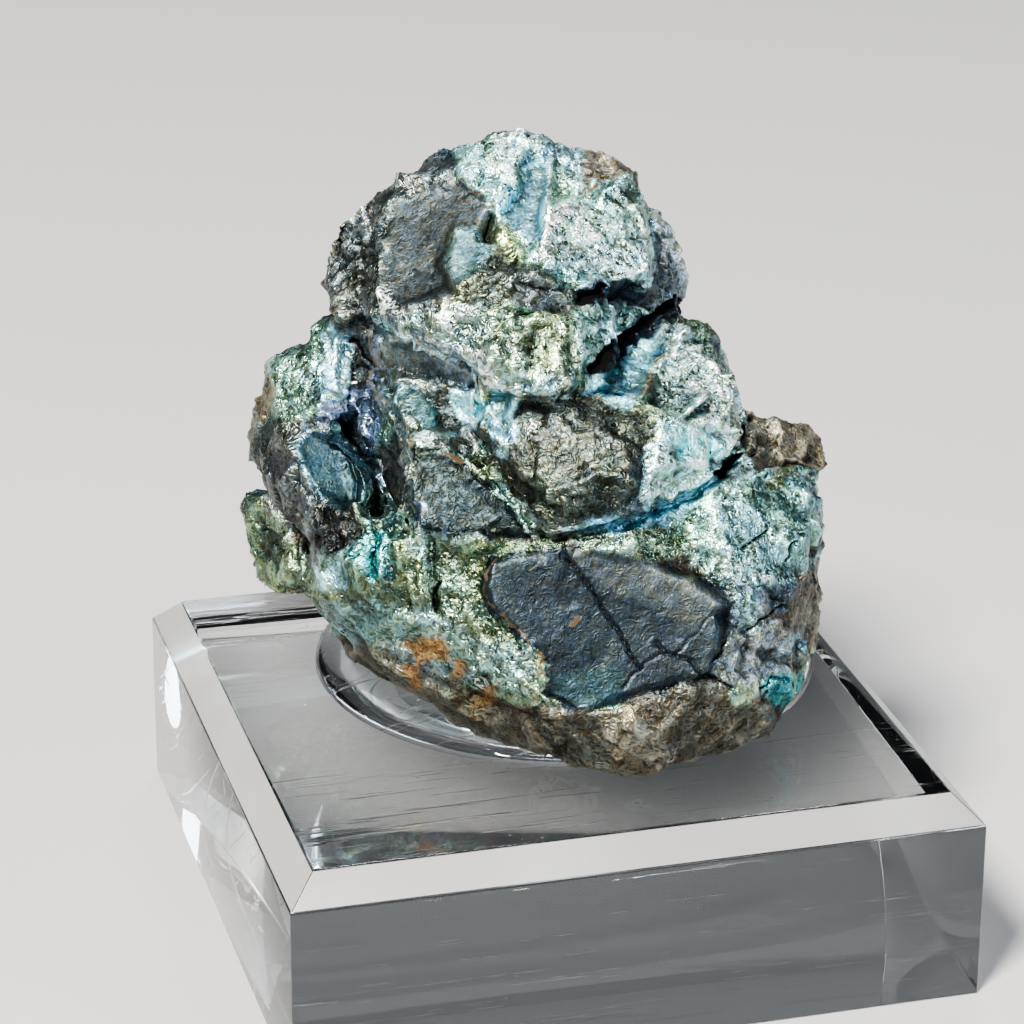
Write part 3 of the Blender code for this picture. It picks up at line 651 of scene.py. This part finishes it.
crest = crinkles(rest, 2.3 * MM, 5)
streaked = np.zeros(len(points))
for across, upwards, factor, size, names_of_faces in STREAKS:
    sway = crinkles(drawn_out(rest, across, upwards, factor), size * MM, 4)
    share = np.max([smooth_step(-0.4, 0.4, depth_inside(spots, FACES[face][0]))
                    for face in names_of_faces], axis=0) * facing
    crest = crest * (1 - share) + sway * share
    streaked = np.maximum(streaked, share)
    if "left_rim" in names_of_faces:
        rise += RIM_RIDGES * sway * facing * smooth_step(
            -0.3, 0.5, depth_inside(spots, FACES["left_rim"][0]))
facet_keys = []
ragged_rest = rest + 0.3 * MM * sways(rest, 0.7 * MM, (61, 62, 63))
for size, seed, lean, jump in GRAINS:
    offset, key = grains(ragged_rest, size * MM, seed)
    tilt = np.stack([lattice_random(key, seed + step) for step in (5, 6, 7)], axis=1) - 0.5
    rise += lean * rough * (offset * tilt).sum(axis=1)
    rise += jump * rough * (lattice_random(key, seed + 8) - 0.5)
    facet_keys.append(key)
rise += crest * (0.01 + 0.03 * rough)

crack_gap = np.full(len(points), 5.0)
for line, half_width, deep in CRACKS:
    gap = line_distance(spots, line) - half_width
    rise -= CRACK_OPENING * deep * (1 - smooth_step(-half_width, CRACK_BANK, gap)) * facing
    crack_gap = np.minimum(crack_gap, gap)
seam_gap = np.min([line_distance(spots, line) - half for line, half in SEAMS], axis=0)
chip_gap = np.min([np.linalg.norm(spots - (u, v), axis=1) - radius for u, v, radius in CHIPS],
                  axis=0)
away_from_marks = np.where(facing > 0.3, 0, 5)
marks = np.stack([crack_gap, seam_gap, chip_gap], axis=1) + away_from_marks[:, None]

points += normals * (rise * MM)[:, None]
low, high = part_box("chalcocite")
points = np.clip(points, np.array(low), np.array(high))
drop = low.z - pad_high.z - CONTACT_GAP
points[:, 2] -= drop * (1 - smooth_step(low.z, low.z + FOOT_HEIGHT, points[:, 2]))
rock.vertices.foreach_set("co", points.astype(np.float32).ravel())
rock.update()
rock.shade_smooth()

pairs = np.empty(len(rock.edges) * 2, np.int32)
rock.edges.foreach_get("vertices", pairs)
pairs = pairs.reshape(-1, 2)
normals = vectors_of(rock.vertex_normals, "vector")
# How far each spot sinks below its eased neighbours: it paints shade in hollows and light on crests.
painted_hollow_shading = np.zeros(len(points))
eased_points = points
for round_number in range(max(HOLLOW_SHADING) + 1):
    eased_points = neighbour_mean(eased_points, pairs)
    if round_number in HOLLOW_SHADING:
        depth, share = HOLLOW_SHADING[round_number]
        sunk = ((eased_points - points) * normals).sum(axis=1) / MM
        painted_hollow_shading += np.clip(sunk / depth, -1, 1) * share

# How bright the stone is beside its tones as they are listed
BODY_TONE = 0.84

# The tarnish, and one kind that is painted shadow: each kind's dark, middle and light tone,
# and its lustre from 0 to 1
TARNISH_AND_SHADOW = {
    "slate": ("23292C", "485156", "8B9598", 0.6),
    "turquoise": ("30403F", "6C8786", "B4E2E0", 1.0),
    "silver": ("384343", "7B908E", "CFEBE6", 1.0),
    "green": ("2E372E", "687A6A", "BEDCB8", 0.95),
    "blue": ("36505C", "648795", "A8CCDA", 0.9),
    "ice": ("557E90", "87B4C4", "C8EEF8", 0.8),
    "teal": ("1C3039", "3A5662", "6A8D98", 0.65),
    "navy": ("1C232B", "394550", "6E8088", 0.65),
    "violet": ("12161F", "343D50", "8D95B2", 0.85),
    "ledge": ("323836", "5F6965", "A5B0A9", 0.8),
    "needles": ("253338", "495C62", "93A8AC", 0.75),
    "rind": ("1A1A17", "403E38", "7E7A6E", 0.5),
    "charcoal": ("15191B", "323739", "717879", 0.6),
    "abyss": ("06080B", "141B26", "2E3B50", 0.5),
    "rust": ("352C20", "6A543A", "AC8450", 0.35),
    "cyan": ("103C40", "3D878E", "AEEEF2", 1.0),
    "lime": ("354030", "6F7F60", "D6E6B4", 0.95),
    "sky": ("2E5F66", "69B4B8", "B4F0EE", 1.0),
}

# Where each kind of tarnish lies, as outlines (u, v) seen from the show side, later ones on top,
# with a gain that makes it lighter or darker. The gains were matched to how light each patch
# looks, so besides the tarnish's own tone they hold painted light and shade; a few outlines
# paint shade and shadow outright.
TARNISH_AND_SHADE_OUTLINES = [
    ("turquoise", [(-4.3, 26.8), (0.4, 29), (3, 26.8), (8.4, 27), (10.4, 20.6), (10.0, 16.4),
        (4.4, 16.6), (1.2, 18.4), (-1, 21.6), (-4.1, 24.4)], 1.9),
    ("silver", [(2.2, 22.4), (6, 22), (8.4, 22.8), (10.0, 20), (9.8, 17), (6, 17.4), (2.4, 18.6)],
        2.05),
    ("rind", [(4.8, 23.4), (5.2, 26.8), (9.6, 26), (9.6, 23), (8.2, 24.6), (6.2, 24)], 1.6),
    ("blue", [(-1.2, 22.4), (0.6, 24), (1.0, 26.6), (2.6, 26.6), (2.7, 23), (2.1, 19.4), (0.6, 19.8)],
        1.75),
    ("ice", [(-4.3, 26.6), (-2.6, 26.8), (-2.4, 25.4), (-3.8, 24.4)], 1.2),
    ("silver", [(-2.2, 24.6), (-1.4, 27.6), (0.4, 28.6), (1.6, 27.2), (0.6, 25)], 1.9),
    ("slate", [(-10, 13.8), (-10, 18.6), (-8.6, 25.6), (-4.2, 26), (-4.1, 24.4), (-1.2, 22),
        (-1.8, 20.4), (-4.6, 20.6), (-5.0, 17), (-4.2, 15.8), (-8.4, 13.8)], 0.63),
    ("charcoal", [(-14.6, 13.0), (-14.8, 22), (-9, 25), (-8.9, 21.6), (-10, 18.6), (-10, 13)], 1.1),
    ("charcoal", [(10.0, 15), (10.4, 20.4), (8.2, 25.2), (13.5, 22), (13.5, 14)], 3.8),
    ("blue", [(-4.9, 18.2), (-4.3, 20.4), (-3.0, 21.0), (-1.8, 19.6), (-2.0, 16.8), (-4.2, 16.2)],
        0.85),
    ("ledge", [(-4.2, 16.2), (-1.8, 18.8), (1.0, 18.4), (4.8, 16.4), (5, 14.2), (0, 13.8),
        (-4, 14.2)], 0.26),
    ("charcoal", [(0.2, 16.8), (3.6, 16.4), (4.8, 15.2), (3.2, 14.2), (0.3, 14.4)], 1.65),
    ("lime", [(-1.4, 20.3), (-0.8, 20.5), (0.8, 19.6), (1.0, 18.2), (-0.2, 18.5)]),
    # Painted shadow: the cavity under the head's right side.
    ("abyss", [(4.4, 16.2), (5.8, 17.0), (9.6, 16.3), (9.4, 15.4), (7.4, 15.6), (5.6, 14.8)]),
    ("silver", [(-8.8, 13.8), (-6.2, 15), (-4, 15.2), (-2, 14.6), (-2.2, 12), (-5, 11.8)], 0.68),
    ("green", [(-2.6, 14.8), (0.2, 15.2), (5.0, 14.4), (6.2, 12.2), (5.4, 9), (3.4, 7.6), (-1.6, 9.8),
        (-2.4, 12.2)], 0.66),
    ("silver", [(-2.4, 11.4), (-0.6, 10.4), (1.6, 9.8), (4.6, 10.4), (4.4, 8.2), (0, 8.8)]),
    ("turquoise", [(4.6, 14.7), (6.0, 15.0), (8.8, 14.8), (8.9, 13.8), (7.2, 12.4), (6.2, 11.2),
        (5.4, 9.2), (5.0, 12)], 1.5),
    ("slate", [(-10.6, 13.4), (-6.2, 12.9), (-3.2, 11.4), (-0.8, 9.6), (0.2, 8.8), (-4, 8.9),
        (-5.4, 5.2), (-8, 5), (-10.4, 9)], 1.9),
    # Painted shade: a darker slate where the undercut leans down, away from the light.
    ("slate", [(-10.2, 11.4), (-6, 11.0), (-3, 9.7), (-1.4, 9.4), (-4.0, 8.2), (-6, 7.8), (-9.4, 8.8),
        (-10.2, 9.4)]),
    ("charcoal", [(-5.8, 8.8), (-3.6, 9.2), (-2.6, 6.4), (-1.4, 5.2), (-3.6, 4.2), (-6, 5)], 1.1),
    ("violet", [(-12.2, 12.6), (-10, 12.6), (-9.8, 5), (-10.6, 3.6), (-12.6, 6.2), (-14.4, 6.6),
        (-14.0, 7.8)], 3.8),
    # Painted shade: the cleft between the left lobe and the head, painted dark.
    ("charcoal", [(-12, 12.8), (-10.2, 12.8), (-10.2, 8.6), (-11.6, 8.8)]),
    ("turquoise", [(-19, 6.4), (-19, 12), (-13.6, 14.2), (-13.9, 8), (-15.4, 6.6)], 1.22),
    ("rind", [(-19.2, 6.0), (-19.2, 11.6), (-17.6, 11.4), (-17.4, 6.8)], 1.8),
    ("ice", [(-14.1, 8.0), (-14.0, 12.8), (-13.0, 14), (-11.8, 12.2), (-11.6, 8.4)], 0.5),
    ("teal", [(-16.6, 4.4), (-15, 6.4), (-13, 5.6), (-11, 4.2), (-10.3, 2.4), (-10.8, 0.6),
        (-12.4, -0.4), (-14.2, 0.4), (-15.0, 2)], 0.55),
    ("charcoal", [(-14.2, 0.6), (-12.0, 0.2), (-10.9, 0.2), (-11.4, -1.6), (-13, -3.6), (-14.8, -2)],
        0.2),
    ("charcoal", [(-19.6, 6.4), (-16.4, 6.4), (-15.2, 2), (-14.8, -1.2), (-16.8, -1.6),
        (-19.4, 1.6)]),
    ("green", [(-21.4, 1.8), (-18.6, 1.6), (-17.6, -0.4), (-15.3, -2.4), (-15.2, -6.8), (-20, -7.4)],
        0.55),
    ("ice", [(-9.4, 8.7), (-7.5, 9.4), (-6, 8.2), (-5.6, 6.8), (-6.2, 4.9), (-7.0, 6.2), (-8.9, 7)],
        0.31),
    ("silver", [(-9.0, 7.2), (-7.2, 7.0), (-7.2, 5.4), (-8.6, 6.2)], 0.6),
    ("ice", [(-4.0, 8.9), (-2.4, 8.9), (-2.5, 6.4), (-3.0, 6.2), (-4.1, 7.2)], 2.4),
    # Painted shade: the recessed wedge below the lilac patch, painted dark.
    ("charcoal", [(-9.8, 5.4), (-7.4, 5.2), (-7.5, 0.2), (-8.3, 0), (-9.7, 2.4)], 1.6),
    ("green", [(-15.2, -5), (-12, -3.4), (-9, -5.2), (-6, -2), (-1.8, -2.2), (3.4, -2.2), (1.8, -9),
        (3, -12), (-3, -12.6), (-8.6, -9.4), (-14, -9)], 0.53),
    ("turquoise", [(-14.4, -6.8), (-11, -6.4), (-6, -7.4), (-2, -9.4), (1.8, -10), (1.4, -13.4),
        (-3.2, -12.8), (-8, -9.6), (-13, -9.2)], 0.72),
    ("ice", [(-14.2, -4.1), (-12.2, -4.1), (-12.2, -5.6), (-14.0, -5.6)]),
    ("cyan", [(-12.1, -3.2), (-10.6, -0.6), (-9.9, -0.6), (-9.1, -1.8), (-9.1, -4.9), (-10.2, -4.9)],
        0.6),
    ("lime", [(-8.7, -2.2), (-7.4, -2.2), (-7.2, -5.6), (-8.7, -5.6)], 0.5),
    ("lime", [(-7.0, -3.4), (-6.4, -3.4), (-6.0, -6.0), (-6.8, -6.0)], 0.5),
    ("needles", [(-7.4, 4.9), (-5.3, 4.9), (-2.2, 2.8), (0.8, -0.6), (1.6, -2.0), (-2.6, -1.9),
        (-6.2, -1.6), (-7.5, 0.6)], 0.09),
    ("violet", [(-7.4, 0.6), (-6.4, 0.6), (-6.2, -1.0), (-7.0, -1.0)]),
    ("ledge", [(-2.8, 6.4), (-0.8, 8.9), (4, 8.4), (9.8, 7.4), (10.4, 5.6), (9.6, 1.2), (6.8, -0.8),
        (2.0, -1.2), (-1.2, 3.0)], 0.22),
    ("blue", [(-2.8, 7.6), (-1.0, 8.9), (0.4, 8.4), (0.2, 6.4), (-0.6, 4.0), (-1.6, 5.4)], 1.2),
    ("silver", [(9.6, 0.8), (9.8, 4.6), (11, 6.6), (10.2, 10), (11, 14), (17.4, 11), (17.4, 6),
        (13, 2)], 1.78),
    ("sky", [(10.6, 6.6), (13.4, 6.8), (15.8, 5.0), (14.4, 3.8), (12.4, 3.9)], 2.8),
    ("teal", [(5, 8.6), (7.4, 11.6), (10.8, 13.8), (11.0, 12.0), (9.2, 9.2), (8.6, 7.6)], 4),
    ("teal", [(3.4, -1.2), (9.6, 0.2), (12.4, 1.8), (15.6, 3.8), (15.4, 1.8), (12.4, -0.4),
        (9.2, -1.4)], 4.4),
    # Painted shadow: the dark band cast under the head's right edge.
    ("abyss", [(5.9, 10.3), (6.4, 11.4), (8.6, 13.7), (10.4, 14.9), (12.6, 15.9), (12.8, 15.0),
        (10.9, 13.5), (9.5, 12.3), (7.7, 10.7), (6.4, 10.0)]),
    ("turquoise", [(12.0, -0.6), (15.2, 2.2), (20.8, 3.4), (23.4, 0), (21.4, -5), (15.2, -5.2),
        (12.8, -3.2)], 1.45),
    ("green", [(3.8, -1.8), (9, -1.2), (13, -0.6), (13.4, -3.0), (9.6, -3.4), (5, -2.6)]),
    ("lime", [(19, 3.0), (20.8, 3.2), (20.2, 2.0), (19.0, 2.0)]),
    ("rind", [(16.6, 7), (24, 7), (24, 2.8), (17.4, 3.2)], 1.75),
    ("rind", [(20.6, -4), (24, -4), (24, -10.6), (20.4, -8.2)], 1.3),
    ("charcoal", [(14.4, -9), (16.6, -8.6), (19, -9.2), (21.6, -10.4), (20.4, -11.6), (17.2, -12.6),
        (14.6, -12.4)], 2.8),
    ("cyan", [(18.4, -12.6), (19.6, -11.6), (21.4, -11.6), (21.2, -13.2), (19.4, -14.4)]),
    ("blue", [(20.0, -9.8), (20.2, -8.8), (21.4, -8.6), (21.2, -9.6)]),
    ("navy", [(-1.8, -3.2), (3.6, -2.4), (9.6, -3.4), (13.6, -4.8), (16, -6.8), (15.6, -9.4),
        (14.8, -11.8), (11.4, -12.8), (8.4, -13.8), (4.6, -14.3), (2.0, -13.6), (2.6, -10.8),
        (1.2, -9.7), (-0.4, -8.4), (-1.8, -6.9), (-2.2, -5.2)], 0.3),
    ("slate", [(3.6, -2.6), (9.6, -3.4), (13.6, -4.8), (15.8, -6.8), (13.4, -8.4), (9.6, -6.6),
        (6.0, -4.8)], 0.45),
    ("teal", [(2.4, -11.8), (8, -11.2), (8.2, -13.8), (3.4, -14.1)], 0.23),
    ("rind", [(-18, -8), (-14, -9.0), (-9.6, -10), (-6.4, -12.6), (-1.6, -13.8), (2, -14.2),
        (8, -14.4), (14.6, -13.2), (18.6, -14.6), (24, -11), (24, -22), (-18, -22)], 1.08),
    ("rust", [(-8.2, -9.6), (-5.0, -9.0), (-4.4, -10.8), (-6.4, -11.2)]),
    ("rust", [(-7.8, -11), (-6.8, -11), (-6.6, -13), (-7.4, -13)]),
    ("rust", [(-4.6, -10.8), (-3.2, -10.8), (-3.4, -12.4), (-4.4, -12.2)]),
    ("rust", [(-2.8, -13.2), (-0.6, -12.2), (-1.4, -14.4), (-2.6, -14.2)]),
]

count = len(points)
facet = lattice_random(facet_keys[0], 201) + lattice_random(facet_keys[1], 202) - 1.0
# The shade picks each vertex's tone: at random by facet and swell, with the crinkles, and darker in
# hollows and lighter on crests, which is painted shade and painted light.
shade = 0.45 + (1 - 0.7 * calm) * (0.12 * facet + 0.16 * soft_noise(rest, 2.6 * MM, 203))
shade += (0.02 + 0.10 * streaked) * crest - 0.20 * painted_hollow_shading
shade = np.clip(shade, 0, 1)
kinds = list(TARNISH_AND_SHADOW)
tones = np.array([[linear(tone)[:3] for tone in TARNISH_AND_SHADOW[kind][:3]] for kind in kinds])
lustres = np.array([TARNISH_AND_SHADOW[kind][3] for kind in kinds])


def toned(kind):
    """Each vertex's colour in one kind from the table, tarnish and painted shadow alike, by how light
    its shade is.
    """
    dark, middle, light = tones[kind]
    lower = np.clip(shade * 2, 0, 1)[:, None]
    upper = np.clip(shade * 2 - 1, 0, 1)[:, None]
    return dark + (middle - dark) * lower + (light - middle) * upper


drift = soft_noise(rest, 7.0 * MM, 211) + 0.5 * soft_noise(rest, 2.5 * MM, 212)
cloud = soft_noise(rest, 5.0 * MM, 213) + 0.5 * soft_noise(rest, 1.8 * MM, 214)
colour = toned(kinds.index("slate"))
lustre = np.full(count, 0.6)
layers = [("turquoise", smooth_step(0.05, 0.35, drift), 1),
          ("rind", smooth_step(0.1, 0.4, -drift), 1),
          ("green", smooth_step(0.25, 0.5, cloud), 1),
          ("navy", smooth_step(0.35, 0.6, -cloud), 1)]
reach = 0.35 * sways(rest, 0.5 * MM, (215, 216))
shown = smooth_step(-13, -10, seen[:, 2])
for name, outline, *gain in TARNISH_AND_SHADE_OUTLINES:
    inside = smooth_step(-0.22, 0.22, depth_inside(spots + reach, outline))
    layers.append((name, inside * shown, *(gain or [1])))
for name, weight, gain in layers:
    kind = kinds.index(name)
    colour += (toned(kind) * gain - colour) * weight[:, None]
    lustre += (lustres[kind] - lustre) * weight

film = 0.9 * soft_noise(rest, 2.4 * MM, 221) + 0.9 * (lattice_random(facet_keys[0], 222) - 0.5)
blush = 0.9 * soft_noise(rest, 3.1 * MM, 223) + 0.9 * (lattice_random(facet_keys[1], 224) - 0.5)
vivid = (lustre * (1 - 0.5 * calm))[:, None]
for amount, push in ((film, (-0.16, 0.0, 0.10)), (-film, (0.07, 0.05, -0.13)),
                     (blush, (-0.10, 0.04, -0.03)), (-blush, (0.04, -0.03, 0.08))):
    colour *= np.exp(vivid * np.clip(amount, 0, 1.5)[:, None] * push)
# Darker again in hollows and lighter on crests: painted shade and painted light.
colour *= BODY_TONE * np.clip(1 - 0.45 * painted_hollow_shading, 0.4, 1.35)[:, None]

# The vertex colour: the tarnish, with the painted shade, light and shadow above.
tint = rock.color_attributes.new("tarnish_and_shading", "FLOAT_COLOR", "POINT")
tint.data.foreach_set("color", np.c_[colour, np.ones(count)].astype(np.float32).ravel())
for label, values in (("marks", marks), ("finish", np.stack([calm, lustre, 0 * calm], axis=1))):
    layer = rock.attributes.new(label, "FLOAT_VECTOR", "POINT")
    layer.data.foreach_set("vector", values.astype(np.float32).ravel())

# Tarnished chalcocite: a metal-like sulphide, broken across its grain. Each grain's face
# leans its own way and throws back its own glint, and the tarnish lies over it in films.
FINE_GRAINS = ((0.32 * MM, 0.18), (0.16 * MM, 0.08))
WRINKLE = 0.58 * MM
WRINKLE_HEIGHT = 0.068
SPECK = 0.22 * MM
FILM = 0.7 * MM
GOLD_FILM = (1.2, 1.04, 0.75, 1.0)
BLUE_FILM = (0.88, 1.0, 1.1, 1.0)
CREST_COOLNESS = 0.3
DULL_PLANES = 0.08
RAGGED_EDGE = 0.45 * MM

# What lies on top: where it is read from, how ragged its edge is in mm, where it is full and
# where it ends, and its colour. The near-black in the cracks is painted shade.
METAL_CHIP = ("Z", 0.25, -1.75, -1.25, "E4EFEA")
RUST_SEAM = ("Y", 0.07, -0.12, 0.04, "38280C")
# Painted shade: the near-black laid in the cracks, over their carved grooves.
CRACK_SHADE_PAINT = ("X", 0.03, -0.05, 0.03, "07090B")

material, tree, output = new_material("tarnished_chalcocite_painted_light_and_shade")
place = add(tree, "TexCoord").outputs["Object"]
tarnish_and_shading = add(tree, "Attribute", attribute_name="tarnish_and_shading")
finish, marked = [
    add(tree, "SeparateXYZ", {0: add(tree, "Attribute", attribute_name=label).outputs["Vector"]})
    for label in ("finish", "marks")]
wrinkles = add(tree, "TexNoise", {
    "Vector": place, "Scale": 1 / WRINKLE, "Detail": 1.0, "Roughness": 0.5, "Offset": 1.0,
    "Gain": 2.0, "Distortion": 1.2}, noise_type="RIDGED_MULTIFRACTAL", normalize=True)
height = add(tree, "Math", {0: wrinkles, 1: WRINKLE_HEIGHT}, operation="MULTIPLY")
grain_colours = []
for size, lean in FINE_GRAINS:
    scaled = add(tree, "VectorMath", {0: place, "Scale": 1 / size}, operation="SCALE")
    cells = add(tree, "TexVoronoi", {"Vector": scaled, "Scale": 1.0})
    away = add(tree, "VectorMath", {0: scaled, 1: cells.outputs["Position"]}, operation="SUBTRACT")
    slope = add(tree, "VectorMath", {0: cells.outputs["Color"], 1: (0.5, 0.5, 0.5)},
                operation="SUBTRACT")
    facet = add(tree, "VectorMath", {0: away, 1: slope}, operation="DOT_PRODUCT")
    height = add(tree, "Math", {0: facet.outputs["Value"], 1: size / MM * lean, 2: height},
                 operation="MULTIPLY_ADD")
    grain_colours.append(add(tree, "SeparateColor", {"Color": cells.outputs["Color"]}))
restraint = add(tree, "MapRange", {"Value": finish.outputs["X"], "From Max": 0.85,
                                   "To Min": 0.62, "To Max": 0.2}, interpolation_type="SMOOTHSTEP")
grain_height = add(tree, "Math", {0: height, 1: restraint}, operation="MULTIPLY")
relief = add(tree, "Bump", {"Height": grain_height, "Strength": 1.0, "Distance": MM})

gleam, glint = [
    add(tree, "MapRange", {"Value": colours.outputs["Green"], "To Min": low, "To Max": high})
    for colours, low, high in zip(grain_colours, (0.91, 0.9), (1.09, 1.1))]
both = add(tree, "Math", {0: gleam, 1: glint}, operation="MULTIPLY")
# Lighter on the crests of the wrinkles that also raise the bump: painted highlights, carried into the
# painted sheen.
painted_crest_highlight = add(tree, "MapRange", {"Value": wrinkles, "From Min": 0.7, "From Max": 1.15,
                                 "To Min": 0.74, "To Max": 1.75}, interpolation_type="SMOOTHSTEP")
painted_sheen = add(tree, "Math", {0: both, 1: painted_crest_highlight}, operation="MULTIPLY")
specks = add(tree, "TexNoise", {"Vector": place, "Scale": 1 / SPECK, "Detail": 1.0})
speckle = add(tree, "MapRange", {"Value": specks, "From Min": 0.3, "From Max": 0.7,
                                 "To Min": 0.65, "To Max": 1.35})
evened = add(tree, "Mix", {0: finish.outputs["X"], 2: painted_sheen, 3: speckle}, data_type="FLOAT")
films = add(tree, "TexNoise", {"Vector": place, "Scale": 1 / FILM, "Detail": 1.5})
cooled = add(tree, "Math", {0: wrinkles, 1: CREST_COOLNESS, 2: films}, operation="MULTIPLY_ADD")
film_depth = add(tree, "MapRange", {"Value": cooled, "From Min": 0.5, "From Max": 0.95})
hues = add(tree, "Mix", {0: film_depth, 6: GOLD_FILM, 7: BLUE_FILM}, data_type="RGBA")
iridescent = add(tree, "VectorMath", {0: tarnish_and_shading, 1: hues.outputs[2]}, operation="MULTIPLY")
current = add(tree, "VectorMath", {0: iridescent, "Scale": evened}, operation="SCALE")

ragged = add(tree, "TexNoise", {"Vector": place, "Scale": 1 / RAGGED_EDGE, "Detail": 3.0})
masks = []
for axis, amount, inner, outer, paint in (METAL_CHIP, RUST_SEAM, CRACK_SHADE_PAINT):
    wobble = add(tree, "MapRange", {"Value": ragged, "From Min": 0.3, "From Max": 0.7,
                                    "To Min": -amount, "To Max": amount})
    reached = add(tree, "Math", {0: marked.outputs[axis], 1: wobble})
    if axis == "Z":
        reached = add(tree, "Math", {0: wrinkles, 1: -1.2, 2: reached}, operation="MULTIPLY_ADD")
    mask = add(tree, "MapRange", {"Value": reached, "From Min": inner, "From Max": outer,
                                  "To Min": 1.0, "To Max": 0.0})
    masks.append(mask)
    current = add(tree, "Mix", {0: mask, 6: current, 7: linear(paint)}, data_type="RGBA").outputs[2]
seam, crack_shade = masks[1:]
shine = add(tree, "Math", {0: seam, 1: crack_shade}, operation="MAXIMUM")
metal = add(tree, "MapRange", {"Value": finish.outputs["Y"], "To Min": 0.7, "To Max": 1.0})
dulled = add(tree, "Math", {0: 1.0, 1: seam}, operation="SUBTRACT")
metallic = add(tree, "Math", {0: metal, 1: dulled}, operation="MULTIPLY")
gloss = add(tree, "MapRange", {"Value": finish.outputs["Y"], "To Min": 0.48, "To Max": 0.3})
uneven = add(tree, "MapRange", {"Value": grain_colours[0].outputs["Blue"], "To Min": -0.08,
                                "To Max": 0.12})
polish = add(tree, "Math", {0: gloss, 1: uneven})
dull = add(tree, "Math", {0: finish.outputs["X"], 1: DULL_PLANES, 2: polish},
           operation="MULTIPLY_ADD")
roughness = add(tree, "Math", {0: dull, 1: shine}, operation="MAXIMUM")
shader = add(tree, "BsdfPrincipled", {
    "Base Color": current, "Metallic": metallic, "Roughness": roughness, "Normal": relief})
tree.links.new(shader.outputs["BSDF"], output.inputs["Surface"])
rock.materials.append(material)
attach(stone, "root")
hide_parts("chalcocite")


# The stage: a plain pale floor, and soft light from the upper left with a weaker fill.

FLOOR_SIZE = 6.0
FLOOR_DROP = 0.00005
LIGHTS = {
    "key": ((-0.36, -0.38, 0.66), 0.20, 36.0, "FFF8EE"),
    "fill": ((0.50, -0.60, 0.30), 0.25, 4.5, "EAF2FF"),
    "rim": ((0.22, 0.42, 0.80), 0.28, 4.0, "FFFFFF"),
}
AIM = Vector((0, 0, 0.03))

floor_mesh = bpy.data.meshes.new("floor")
sheet = bmesh.new()
bmesh.ops.create_grid(sheet, x_segments=1, y_segments=1, size=FLOOR_SIZE / 2)
bmesh.ops.translate(sheet, vec=(0, 0, -FLOOR_DROP), verts=sheet.verts)
sheet.to_mesh(floor_mesh)
sheet.free()
floor = bpy.data.objects.new("floor", floor_mesh)
bpy.context.scene.collection.objects.link(floor)
material, tree, output = new_material("matt_floor")
shader = add(tree, "BsdfPrincipled", {"Base Color": linear("949598"), "Roughness": 0.8})
tree.links.new(shader.outputs["BSDF"], output.inputs["Surface"])
floor_mesh.materials.append(material)
floor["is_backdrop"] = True

for name, (place, size, watts, colour) in LIGHTS.items():
    lamp = bpy.data.lights.new(name, "AREA")
    lamp.shape = "DISK"
    lamp.size = size
    lamp.energy = watts
    lamp.color = linear(colour)[:3]
    light = bpy.data.objects.new(name, lamp)
    light.location = place
    light.rotation_euler = (AIM - Vector(place)).to_track_quat("-Z", "Y").to_euler()
    bpy.context.scene.collection.objects.link(light)

bpy.context.scene.view_settings.look = "AgX - Medium High Contrast"

world = bpy.data.worlds.new("studio")
world.use_nodes = True
world.node_tree.nodes["Background"].inputs["Color"].default_value = linear("B9C0C8")
world.node_tree.nodes["Background"].inputs["Strength"].default_value = 0.15
bpy.context.scene.world = world


# The camera stands where it shows the specimen from its show side, a little to the left of
# the block's front and looking down on it through a long lens.

CAMERA_PLACE = (-0.07484, -0.25871, 0.14359)
CAMERA_TURN = math.radians(-15.56)
CAMERA_DOWN = math.radians(22.82)
CAMERA_ROLL = math.radians(0.30)
CAMERA_LENS_MM = 139.3

camera = bpy.data.objects.new("camera", bpy.data.cameras.new("camera"))
camera.data.sensor_width = 36
camera.data.lens = CAMERA_LENS_MM
camera.data.clip_start = 0.01
camera.matrix_world = (
    Matrix.Translation(CAMERA_PLACE)
    @ Matrix.Rotation(CAMERA_TURN, 4, "Z")
    @ Matrix.Rotation(math.pi / 2 - CAMERA_DOWN, 4, "X")
    @ Matrix.Rotation(CAMERA_ROLL, 4, "Z")
)
bpy.context.scene.collection.objects.link(camera)
bpy.context.scene.camera = camera

low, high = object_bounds()
